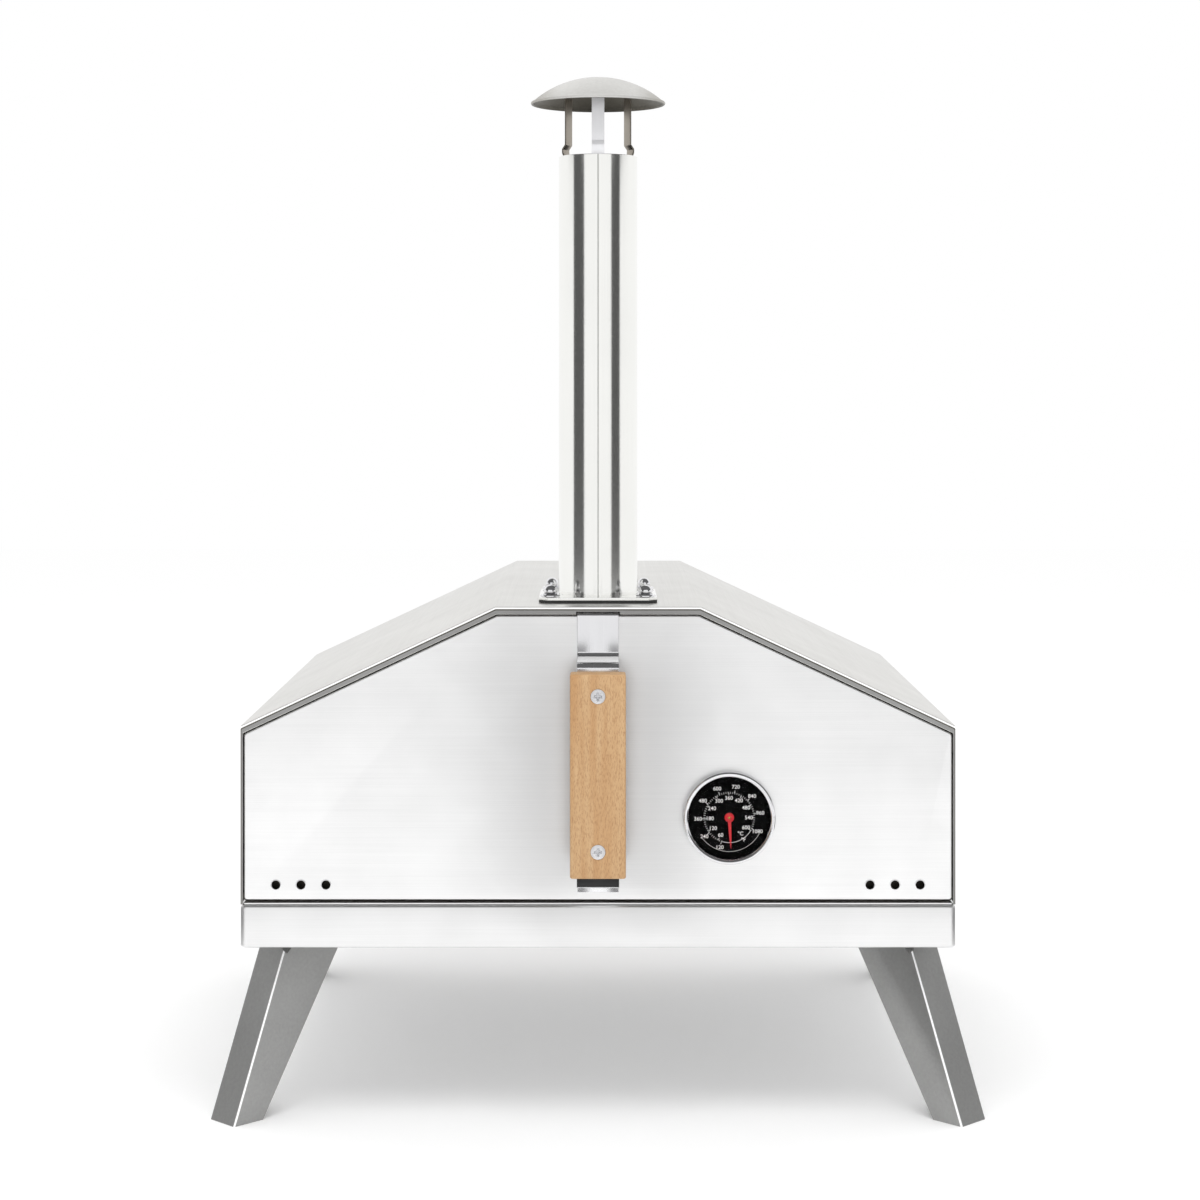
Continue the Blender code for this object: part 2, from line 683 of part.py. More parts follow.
def handle(prefix, place, seat, over, under, hook, screws):
    """Bent strap, wooden grip and its two countersunk screws. Returns the four pieces."""
    path = strap_path(seat, over, under, hook)
    strap = sheet(prefix + "_strap", "bright_steel", path, "X", -STRAP_W / 2, STRAP_W / 2, STRAP_T, place)
    half = GRIP_W / 2
    grip = box(prefix + "_grip", "beech", (-half, -HANDLE_REACH, -GRIP_L / 2),
               (half, -STAND_OFF - GAP, GRIP_L / 2), place)
    round_edges(grip, GRIP_EDGE, 2)
    pieces = [strap, grip]
    depth = GRIP_T + GAP + STRAP_T + SCREW_HEAD_H
    for name, up in screws:
        spot = place @ Matrix.Translation((0.0, -HANDLE_REACH, up)) @ Matrix.Rotation(math.pi / 2, 4, "X")
        head = [(0.0, -GAP), (SCREW_HEAD_R, -GAP), (SCREW_R, -SCREW_HEAD_H), (SCREW_R, -depth), (0.0, -depth)]
        pieces.append(turned(prefix + "_screw_" + name, "zinc", head, ROUND_SIDES, spot))
        room = [(0.0, GAP), (SCREW_HEAD_R + GAP, GAP), (SCREW_HEAD_R + GAP, -GAP),
                (SCREW_R + GAP, -SCREW_HEAD_H - GAP), (SCREW_R + GAP, -depth - GAP), (0.0, -depth - GAP)]
        cutter = turned(prefix + "_screw_way_" + name, None, room, ROUND_SIDES, spot)
        combine(strap, cutter, "DIFFERENCE")
        combine(grip, cutter, "DIFFERENCE")
    return pieces


def front_handle():
    place = Matrix.Translation((0.0, FRONT_Y, GRIP_MID))
    seat = -DOOR_RECESS
    hook = (WRAP_FRONT - GAP - FRONT_Y, DOOR_TOP + GAP + STRAP_T / 2 - GRIP_MID)
    screws = (("lower", SCREW_FOOT - GRIP_L / 2), ("upper", GRIP_L / 2 - SCREW_TOP))
    return handle("handle", place, seat, RUN_OVER, RUN_UNDER, hook, screws)


def thermometer():
    """Dial thermometer on the door, drawn along its own axis with the door's face at height zero."""
    place = Matrix.Translation((DIAL_X, DOOR_Y - GAP, DIAL_Z)) @ Matrix.Rotation(math.pi / 2, 4, "X")
    case_r = BEZEL_R - BEZEL_T - GAP
    bore = case_r - CASE_WALL
    case = [(0.0, CASE_WALL), (bore, CASE_WALL), (bore, CASE_H), (case_r, CASE_H), (case_r, 0.0),
            (THREAD_R, 0.0), (THREAD_R, -THREAD_L), (PROBE_R, -THREAD_L), (PROBE_R, -PROBE_L),
            (0.0, -PROBE_L)]
    pieces = [turned("thermo_case", "steel", case, LARGE_SIDES, place)]
    glass = CASE_H + GAP
    lap = glass + GLASS_T + GAP
    bezel = [(BEZEL_R, lap + BEZEL_T), (BEZEL_R, GAP), (BEZEL_R - BEZEL_T, GAP), (BEZEL_R - BEZEL_T, lap),
             (BEZEL_R - BEZEL_LAP, lap), (BEZEL_R - BEZEL_LAP, lap + BEZEL_T)]
    pieces.append(turned("thermo_bezel", "bright_steel", bezel, LARGE_SIDES, place, closed=True))
    pane = [(0.0, glass + GLASS_T), (case_r, glass + GLASS_T), (case_r, glass), (0.0, glass)]
    pieces.append(turned("thermo_glass", "glass", pane, LARGE_SIDES, place))
    hole = NEEDLE_W / 2 + GAP
    card = [(bore - GAP, DIAL_UP + DIAL_T), (bore - GAP, DIAL_UP), (hole, DIAL_UP), (hole, DIAL_UP + DIAL_T)]
    pieces.append(turned("thermo_dial", "dial_black", card, LARGE_SIDES, place, closed=True))
    nut_top = -GAP - SHEET
    nut = plate("thermo_nut", "zinc", [circle(0.0, 0.0, NUT_R, 6), circle(0.0, 0.0, THREAD_R + GAP)],
                nut_top - NUT_H, nut_top, "Z", place)
    pieces.append(nut)
    return pieces, needle(place)


def needle(place):
    """Pointer with its hub and a pin through the dial, turned clockwise from twelve o'clock."""
    low = DIAL_UP + DIAL_T + GAP
    spot = place @ Matrix.Rotation(-math.radians(NEEDLE_ANGLE), 4, "Z")
    half, neck = NEEDLE_W / 2, NEEDLE_L - NEEDLE_TIP
    blade = [(-half, -NEEDLE_TAIL), (half, -NEEDLE_TAIL), (half, neck), (0.0, NEEDLE_L), (-half, neck)]
    pointer = plate("thermo_needle", "red", [blade], low, low + NEEDLE_T, "Z", spot)
    cap = low + 2 * NEEDLE_T
    hub = [(0.0, cap), (NEEDLE_HUB_R, cap), (NEEDLE_HUB_R, low), (half, low),
           (half, DIAL_UP - GAP), (0.0, DIAL_UP - GAP)]
    combine(pointer, turned("needle_hub", None, hub, ROUND_SIDES, place), "UNION")
    return pointer


def fuel_drawer():
    """Tray with its face plate outside the rear panel, its grate and its handle."""
    half = DRAWER_W / 2
    front = FACE_Y + FACE_T / 2 - DRAWER_D
    drawer = box("fuel_drawer", "steel", (-half, front, DRAWER_LOW), (half, FACE_Y + FACE_T / 2, DRAWER_TOP))
    inside = box("drawer_inside", None, (-half + SHEET, front + SHEET, DRAWER_LOW + SHEET),
                 (half - SHEET, FACE_Y - SHEET, DRAWER_TOP + SHEET))
    combine(drawer, inside, "DIFFERENCE")
    face = box("drawer_face", None, (-FACE_W / 2, FACE_Y, FACE_LOW), (FACE_W / 2, FACE_Y + FACE_T, FACE_TOP))
    combine(drawer, face, "UNION")
    level = DRAWER_LOW + GRATE_UP / 2 + SHEET
    for side in (-1, 1):
        for index in range(AIR_COUNT):
            across = side * AIR_PITCH * (index + 0.5)
            name = "air_%s_%d" % ("left" if side < 0 else "right", index)
            drill(drawer, name, (across, FACE_Y, level), AIR_R, 8 * SHEET, "Y", SMALL_SIDES)
    half = DRAWER_W / 2 - SHEET - DOOR_GAP
    foot = DRAWER_LOW + SHEET + GAP
    top = foot + GRATE_UP - GRATE_T / 2
    path = [(front + SHEET + DOOR_GAP + GRATE_T / 2, foot), (front + SHEET + DOOR_GAP + GRATE_T / 2, top),
            (FACE_Y - SHEET - DOOR_GAP - GRATE_T / 2, top), (FACE_Y - SHEET - DOOR_GAP - GRATE_T / 2, foot)]
    grate = sheet("fuel_grate", "liner_steel", path, "X", -half, half, GRATE_T)
    middle = (front + FACE_Y) / 2
    pitch = 2 * half / GRATE_SLOTS
    for index in range(GRATE_SLOTS):
        across = -half + pitch * (index + 0.5)
        slot = box("grate_slot_%d" % index, None,
                   (across - GRATE_SLOT_W / 2, middle - GRATE_SLOT_L / 2, top - GRATE_T),
                   (across + GRATE_SLOT_W / 2, middle + GRATE_SLOT_L / 2, top + GRATE_T))
        combine(grate, slot, "DIFFERENCE")
    height = (FACE_LOW + FACE_TOP) / 2
    place = (Matrix.Translation((0.0, REAR_Y, height)) @ Matrix.Rotation(math.pi, 4, "Z")
             @ Matrix.Rotation(math.pi / 2, 4, "Y"))
    reach = GRIP_L / 2 - SCREW_TOP
    screws = (("left", -reach), ("right", reach))
    pieces = [drawer, grate] + handle("drawer", place, GAP + FACE_T, RUN_UNDER, RUN_UNDER, None, screws)
    hang_on("drawer_slide_axis", (0.0, FACE_Y, height), pieces)


def fuel_hatch():
    """Top hung flap with its hinge leaf, pin and knob."""
    half = HATCH_W / 2
    corner = (half, FACE_Y + HATCH_T, HATCH_TOP)
    flap = box("fuel_hatch", "steel", (-half, FACE_Y, HATCH_LOW), corner)
    turn = Matrix.Rotation(math.pi / 2, 4, "Y")
    axis = Matrix.Translation((0.0, HINGE_Y, HINGE_Z)) @ turn
    barrel = KNUCKLE_L / 2
    ring = [(KNUCKLE_R, barrel), (KNUCKLE_R, -barrel), (0.0, -barrel)]
    combine(flap, turned("flap_knuckle", None, [(0.0, barrel)] + ring, ROUND_SIDES, axis), "UNION")
    tongue = box("flap_tongue", None, (-barrel, FACE_Y, HATCH_TOP - HATCH_T),
                 (barrel, FACE_Y + HATCH_T, HINGE_Z))
    combine(flap, tongue, "UNION")
    drill(flap, "flap_bore", (0.0, HINGE_Y, HINGE_Z), PIN_R + GAP, 2 * KNUCKLE_L, "X", SMALL_SIDES)
    reach = barrel + PIN_END
    leaf_low = HINGE_Z + KNUCKLE_R + DOOR_GAP
    leaf = box("hatch_leaf", "steel", (-reach, FACE_Y, leaf_low), (reach, FACE_Y + LEAF_T, leaf_low + LEAF_H))
    for name, side in (("left", -1), ("right", 1)):
        near = side * (barrel + DOOR_GAP)
        far = side * reach
        low, high = min(near, far), max(near, far)
        lug = [(0.0, high), (KNUCKLE_R, high), (KNUCKLE_R, low), (0.0, low)]
        combine(leaf, turned("leaf_knuckle_" + name, None, lug, ROUND_SIDES, axis), "UNION")
        corner = (high, FACE_Y + LEAF_T, leaf_low + LEAF_T)
        web = box("leaf_tongue_" + name, None, (low, FACE_Y, HINGE_Z), corner)
        combine(leaf, web, "UNION")
    drill(leaf, "leaf_bore", (0.0, HINGE_Y, HINGE_Z), PIN_R + GAP, 4 * reach, "X", SMALL_SIDES)
    end = reach + GAP
    pin = [(0.0, end + PIN_HEAD_H), (PIN_HEAD_R, end + PIN_HEAD_H), (PIN_HEAD_R, end), (PIN_R, end),
           (PIN_R, -end), (PIN_HEAD_R, -end), (PIN_HEAD_R, -end - PIN_HEAD_H), (0.0, -end - PIN_HEAD_H)]
    turned("hatch_pin", "zinc", pin, SMALL_SIDES, axis)
    spot = (Matrix.Translation((0.0, FACE_Y + HATCH_T, HATCH_LOW + KNOB_RISE))
            @ Matrix.Rotation(-math.pi / 2, 4, "X"))
    tail = -HATCH_T - 2 * GAP
    knob = [(0.0, KNOB_L), (KNOB_FACE_R, KNOB_L), (KNOB_R, KNOB_L - KNOB_EDGE), (KNOB_R, KNOB_BELLY),
            (KNOB_NECK_R, KNOB_NECK_L), (KNOB_NECK_R, GAP), (SCREW_R, GAP), (SCREW_R, tail),
            (KNOB_NECK_R, tail), (KNOB_NECK_R, tail - SHEET), (0.0, tail - SHEET)]
    grip = turned("hatch_knob", "knob_black", knob, HOLE_SIDES, spot)
    spot = (0.0, FACE_Y, HATCH_LOW + KNOB_RISE)
    drill(flap, "knob_hole", spot, SCREW_R + GAP, 6 * HATCH_T, "Y", SMALL_SIDES)
    hang_on("hatch_hinge_axis", (0.0, HINGE_Y, HINGE_Z), [flap, grip])


def leg_outline():
    """Side of a leg as (outward, up) from its pivot: a tapering flange with a round inner lobe."""
    lobe = PIVOT_DROP - LEG_TOP_GAP
    lean = math.tan(LEG_LEAN)
    foot = LEG_WEB + PIVOT_Z * lean
    inner = Vector((foot - LEG_FOOT, -PIVOT_Z))
    start = math.atan2(inner.y, inner.x) - math.acos(lobe / inner.length)
    steps = 8
    sweep = start + 1.5 * math.pi
    arc = [(lobe * math.cos(start - sweep * index / steps), lobe * math.sin(start - sweep * index / steps))
           for index in range(steps + 1)]
    return [(foot, -PIVOT_Z), tuple(inner)] + arc + [(LEG_WEB - lobe * lean, lobe)]


def leg(name, place):
    half = LEG_W / 2
    channel = plate("leg_" + name, "leg_steel", [leg_outline()], -half, half, "Y", place)
    lean = math.tan(LEG_LEAN)
    inside = LEG_WEB - LEG_T / math.cos(LEG_LEAN)
    high = 2 * PIVOT_DROP
    low = -PIVOT_Z - PIVOT_DROP
    room = [(inside - low * lean, low), (-2 * LEG_WEB, low), (-2 * LEG_WEB, high),
            (inside - high * lean, high)]
    hollow = plate("leg_hollow_" + name, None, [room], -half + LEG_T, half - LEG_T, "Y", place)
    combine(channel, hollow, "DIFFERENCE")
    ear = half - LEG_T - GAP - BRACKET_T / 2
    top = PIVOT_DROP - GAP - BRACKET_T / 2
    path = [(-ear, -BRACKET_DROP), (-ear, top), (ear, top), (ear, -BRACKET_DROP)]
    bracket = sheet("leg_bracket_" + name, "zinc", path, "X", -BRACKET_L / 2, BRACKET_L / 2, BRACKET_T, place)
    across = place @ Matrix.Rotation(math.pi / 2, 4, "X")
    end = half + GAP
    tip = end + PIVOT_HEAD_H
    bolt = [(0.0, tip), (PIVOT_HEAD_R, tip), (PIVOT_HEAD_R, end), (PIVOT_R, end), (PIVOT_R, -end),
            (PIVOT_HEAD_R, -end), (PIVOT_HEAD_R, -tip), (0.0, -tip)]
    turned("leg_bolt_" + name, "zinc", bolt, ROUND_SIDES, across)
    way = [(0.0, tip), (PIVOT_R + GAP, tip), (PIVOT_R + GAP, -tip), (0.0, -tip)]
    bore = turned("leg_bore_" + name, None, way, ROUND_SIDES, across)
    combine(channel, bore, "DIFFERENCE")
    combine(bracket, bore, "DIFFERENCE")
    hang_on("leg_fold_axis_" + name, place.translation, [channel])


def legs():
    for name, side, end in (("front_left", -1, -1), ("front_right", 1, -1),
                            ("rear_left", -1, 1), ("rear_right", 1, 1)):
        inward = PIVOT_IN_FRONT if end < 0 else PIVOT_IN_REAR
        spot = (side * (BODY_W / 2 - inward), end * (BODY_D / 2 - PIVOT_IN_Y), PIVOT_Z)
        leg(name, Matrix.Translation(spot) @ Matrix.Rotation(math.atan2(end, side), 4, "Z"))


def main():
    clear_scene()
    bpy.context.scene.collection.children.link(PARTS)
    bpy.context.scene.collection.children.link(CUTTERS)
    base_tray()
    outer_shell()
    insulation()
    chamber()
    mouth_frame()
    rear_panel()
    stone_and_rails()
    flue()
    rain_cap()
    door = door_panel()
    on_door = front_handle()
    gauge, pointer = thermometer()
    hang_on("door_pull_axis", (0.0, DOOR_Y, DOOR_LOW), [door] + on_door + gauge)
    hang_on("needle_axis", (DIAL_X, DOOR_Y, DIAL_Z), [pointer])
    fuel_drawer()
    fuel_hatch()
    legs()


main()
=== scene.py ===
"""Finished surfaces of a wood fired pizza oven: brushed sheet steel, beech grips, dial and chimney.

Metres, +Z up, the door looks along -Y. Run in Blender, it dresses the oven's frame and lights it.
"""
import math

import bmesh
import bpy
import numpy as np
from bpy.props import FloatProperty, FloatVectorProperty, PointerProperty
from bpy.types import Operator, Panel, PropertyGroup
from mathutils import Matrix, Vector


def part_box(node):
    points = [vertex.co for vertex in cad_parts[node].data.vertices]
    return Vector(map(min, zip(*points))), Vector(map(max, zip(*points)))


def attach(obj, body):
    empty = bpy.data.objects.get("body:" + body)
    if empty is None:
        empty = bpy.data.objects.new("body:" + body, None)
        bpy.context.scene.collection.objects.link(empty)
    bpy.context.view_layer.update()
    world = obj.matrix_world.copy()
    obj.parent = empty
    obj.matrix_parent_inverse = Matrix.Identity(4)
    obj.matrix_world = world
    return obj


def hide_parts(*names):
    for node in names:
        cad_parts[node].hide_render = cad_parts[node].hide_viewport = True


bl_info = {
    "name": "Pizza oven",
    "version": (1, 0, 0),
    "blender": (4, 5, 0),
    "location": "3D View > Sidebar > Oven",
    "description": "Builds the finished surfaces of a wood fired pizza oven on its frame",
    "category": "Object",
}

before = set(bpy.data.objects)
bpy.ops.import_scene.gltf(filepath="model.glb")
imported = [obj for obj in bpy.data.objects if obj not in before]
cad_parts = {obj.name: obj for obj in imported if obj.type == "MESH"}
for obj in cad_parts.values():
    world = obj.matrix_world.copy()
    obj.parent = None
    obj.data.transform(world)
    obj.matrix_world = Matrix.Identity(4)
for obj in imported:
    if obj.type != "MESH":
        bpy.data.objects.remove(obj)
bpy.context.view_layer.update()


def points_of(node):
    """All corners of a frame node as one array."""
    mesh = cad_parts[node].data
    flat = np.empty(len(mesh.vertices) * 3)
    mesh.vertices.foreach_get("co", flat)
    return flat.reshape(-1, 3)


CLOSE = 1e-5
SHELL = points_of("outer_shell")
BODY_LOW, BODY_HIGH = SHELL.min(0), SHELL.max(0)
HALF_W = BODY_HIGH[0]
FRONT_Y, REAR_Y = BODY_LOW[1], BODY_HIGH[1]
ROOF_Z = BODY_HIGH[2]
HALF_FLAT = np.abs(SHELL[SHELL[:, 2] > ROOF_Z - CLOSE][:, 0]).max()
SHOULDER_Z = SHELL[np.abs(SHELL[:, 0]) > HALF_W - CLOSE][:, 2].max()
SLOPE = math.atan2(ROOF_Z - SHOULDER_Z, HALF_W - HALF_FLAT)
SHEET = 0.0010
GAP = 0.0003
LIP_ROOF, LIP_SIDE = 0.0055, 0.0020
SCREW_HEAD_R = 0.0050
STRAP_THICK = 0.0015
STRAP_PAST_GRIP = 0.0108
MERGE = 1e-6


# ---------------------------------------------------------------- colours and shader nodes

def linear(code):
    """Turn an sRGB hex colour into linear red, green and blue."""
    level = np.array([int(code[place:place + 2], 16) for place in (1, 3, 5)]) / 255
    return tuple(np.where(level <= 0.04045, level / 12.92, ((level + 0.055) / 1.055) ** 2.4))


def add(tree, kind, inputs=None, **settings):
    """Add one shader node with its settings, its socket values and its links."""
    item = tree.nodes.new(kind)
    for key, value in settings.items():
        setattr(item, key, value)
    for key, value in (inputs or {}).items():
        if isinstance(value, bpy.types.NodeSocket):
            tree.links.new(value, item.inputs[key])
        else:
            item.inputs[key].default_value = value
    return item


def new_material(name):
    """A material with nodes: itself, its node tree and its shader."""
    paint = bpy.data.materials.new(name)
    paint.use_nodes = True
    return paint, paint.node_tree, paint.node_tree.nodes["Principled BSDF"]


def tinted(tree, fac, low, high):
    """Colour that runs from low to high as a factor goes from 0 to 1."""
    mix = add(tree, "ShaderNodeMix", {"Factor": fac}, data_type="RGBA")
    mix.inputs["A"].default_value = (*low, 1.0)
    mix.inputs["B"].default_value = (*high, 1.0)
    return mix.outputs["Result"]


def ranged(tree, value, low, high):
    """A 0 to 1 value moved to another range."""
    step = add(tree, "ShaderNodeMapRange", {"Value": value, "To Min": low, "To Max": high})
    return step.outputs["Result"]


def brushed_steel(name, base, rough, grain, streak=0.05, bump=0.02, metal=1.0):
    """304 stainless sheet, belt brushed: long soft streaks side by side and a satin gloss.

    grain gives the streaks per metre along X, Y and Z, so the small number is the belt's direction.
    The real scratches are 0.05 mm apart; they are drawn 0.5 mm apart so that they show.
    """
    paint, tree, shader = new_material(name)
    place = add(tree, "ShaderNodeTexCoord").outputs["Object"]
    stretched = add(tree, "ShaderNodeMapping", {"Vector": place, "Scale": grain}).outputs["Vector"]
    fine = add(tree, "ShaderNodeTexNoise", {"Vector": stretched, "Scale": 1.0, "Detail": 3.0})
    broad = add(tree, "ShaderNodeTexNoise", {"Vector": stretched, "Scale": 0.09, "Detail": 2.0})
    cloud = add(tree, "ShaderNodeTexNoise", {"Vector": place, "Scale": 22.0, "Detail": 4.0})
    soft = add(tree, "ShaderNodeMath", {0: broad.outputs["Fac"], 1: 0.35, 2: cloud.outputs["Fac"]},
               operation="MULTIPLY_ADD")
    mixed = add(tree, "ShaderNodeMath", {0: soft.outputs[0], 1: fine.outputs["Fac"]}, operation="ADD")
    level = add(tree, "ShaderNodeMapRange", {"Value": mixed.outputs[0], "From Min": 0.85, "From Max": 1.50})
    base = np.array(base)
    colour = tinted(tree, level.outputs["Result"], base * (1 - streak), np.minimum(base * (1 + streak), 1.0))
    tree.links.new(colour, shader.inputs["Base Color"])
    gloss = ranged(tree, level.outputs["Result"], rough * 1.12, rough * 0.88)
    tree.links.new(gloss, shader.inputs["Roughness"])
    dent = add(tree, "ShaderNodeBump", {"Height": fine.outputs["Fac"], "Strength": bump, "Distance": 0.0003})
    tree.links.new(dent.outputs["Normal"], shader.inputs["Normal"])
    shader.inputs["Metallic"].default_value = metal
    return paint


def painted_side_shade(paint, middle, inner, outer, code):
    """Darken a finish by the distance from its middle plane: painted shade on both sides of a round part."""
    tree = paint.node_tree
    shader = tree.nodes["Principled BSDF"]
    place = add(tree, "ShaderNodeTexCoord").outputs["Object"]
    parts = add(tree, "ShaderNodeSeparateXYZ", {"Vector": place})
    aside = add(tree, "ShaderNodeMath", {0: parts.outputs["X"], 1: middle}, operation="SUBTRACT")
    away = add(tree, "ShaderNodeMath", {0: aside.outputs[0]}, operation="ABSOLUTE")
    amount = add(tree, "ShaderNodeMapRange", {"Value": away.outputs[0], "From Min": inner, "From Max": outer},
                 interpolation_type="SMOOTHSTEP")
    blend = add(tree, "ShaderNodeMix", {"Factor": amount.outputs["Result"]}, data_type="RGBA")
    tree.links.new(shader.inputs["Base Color"].links[0].from_socket, blend.inputs["A"])
    blend.inputs["B"].default_value = (*code, 1.0)
    tree.links.new(blend.outputs["Result"], shader.inputs["Base Color"])
    return paint


def beech(name, low, high, fleck):
    """Oiled beech: even pale brown with short dark rays along the grain, satin; a ray is about 3 x 0.4 mm."""
    paint, tree, shader = new_material(name)
    grain = add(tree, "ShaderNodeAttribute", attribute_name="grain").outputs["Vector"]
    bands = add(tree, "ShaderNodeMapping", {"Vector": grain, "Scale": (170.0, 170.0, 9.0)})
    band = add(tree, "ShaderNodeTexNoise", {"Vector": bands.outputs["Vector"], "Scale": 1.0, "Detail": 6.0})
    rays = add(tree, "ShaderNodeMapping", {"Vector": grain, "Scale": (2600.0, 2600.0, 420.0)})
    ray = add(tree, "ShaderNodeTexNoise", {"Vector": rays.outputs["Vector"], "Scale": 1.0, "Detail": 1.0})
    even = add(tree, "ShaderNodeMapRange", {"Value": band.outputs["Fac"], "From Min": 0.3, "From Max": 0.7})
    thin = add(tree, "ShaderNodeMapRange", {"Value": ray.outputs["Fac"], "From Min": 0.48, "From Max": 0.74})
    wood = tinted(tree, even.outputs["Result"], low, high)
    dark = add(tree, "ShaderNodeMix", {"Factor": thin.outputs["Result"]}, data_type="RGBA")
    tree.links.new(wood, dark.inputs["A"])
    dark.inputs["B"].default_value = (*fleck, 1.0)
    tree.links.new(dark.outputs["Result"], shader.inputs["Base Color"])
    tree.links.new(ranged(tree, band.outputs["Fac"], 0.42, 0.58), shader.inputs["Roughness"])
    dent = add(tree, "ShaderNodeBump",
               {"Height": thin.outputs["Result"], "Strength": 0.12, "Distance": 0.0002}, invert=True)
    tree.links.new(dent.outputs["Normal"], shader.inputs["Normal"])
    shader.inputs["IOR"].default_value = 1.5
    return paint


def speckled(name, base, rough, grit_mm, metal=0.0, bump=0.2, spread=0.10, gloss=0.5):
    """Any even finish with a fine grit: felt, cordierite, zinc plate, bakelite or enamel."""
    paint, tree, shader = new_material(name)
    place = add(tree, "ShaderNodeTexCoord").outputs["Object"]
    grit = add(tree, "ShaderNodeTexNoise", {"Vector": place, "Scale": 1000.0 / grit_mm, "Detail": 3.0})
    cloud = add(tree, "ShaderNodeTexNoise", {"Vector": place, "Scale": 60.0 / grit_mm, "Detail": 2.0})
    both = add(tree, "ShaderNodeMath", {0: grit.outputs["Fac"], 1: cloud.outputs["Fac"]}, operation="ADD")
    level = add(tree, "ShaderNodeMapRange", {"Value": both.outputs[0], "From Min": 0.7, "From Max": 1.3})
    base = np.array(base)
    tone = tinted(tree, level.outputs["Result"], base * (1 - spread), np.minimum(base * (1 + spread), 1.0))
    tree.links.new(tone, shader.inputs["Base Color"])
    satin = ranged(tree, level.outputs["Result"], rough * 1.1, rough * 0.9)
    tree.links.new(satin, shader.inputs["Roughness"])
    dent = add(tree, "ShaderNodeBump", {"Height": grit.outputs["Fac"], "Strength": bump,
                                        "Distance": grit_mm * 0.0003})
    tree.links.new(dent.outputs["Normal"], shader.inputs["Normal"])
    shader.inputs["Metallic"].default_value = metal
    shader.inputs["Specular IOR Level"].default_value = gloss
    return paint


def clear_glass(name):
    """Flat dial glass with an anti-reflection coat, polished both sides."""
    paint, _, shader = new_material(name)
    shader.inputs["Base Color"].default_value = (1.0, 1.0, 1.0, 1.0)
    shader.inputs["Roughness"].default_value = 0.02
    shader.inputs["IOR"].default_value = 1.05
    shader.inputs["Transmission Weight"].default_value = 1.0
    return paint


PAINTS = {}
ALONG_X, ALONG_Y, ALONG_Z = (9.0, 1900.0, 1900.0), (1900.0, 9.0, 1900.0), (1900.0, 1900.0, 9.0)
EVERY_WAY = (450.0, 450.0, 450.0)


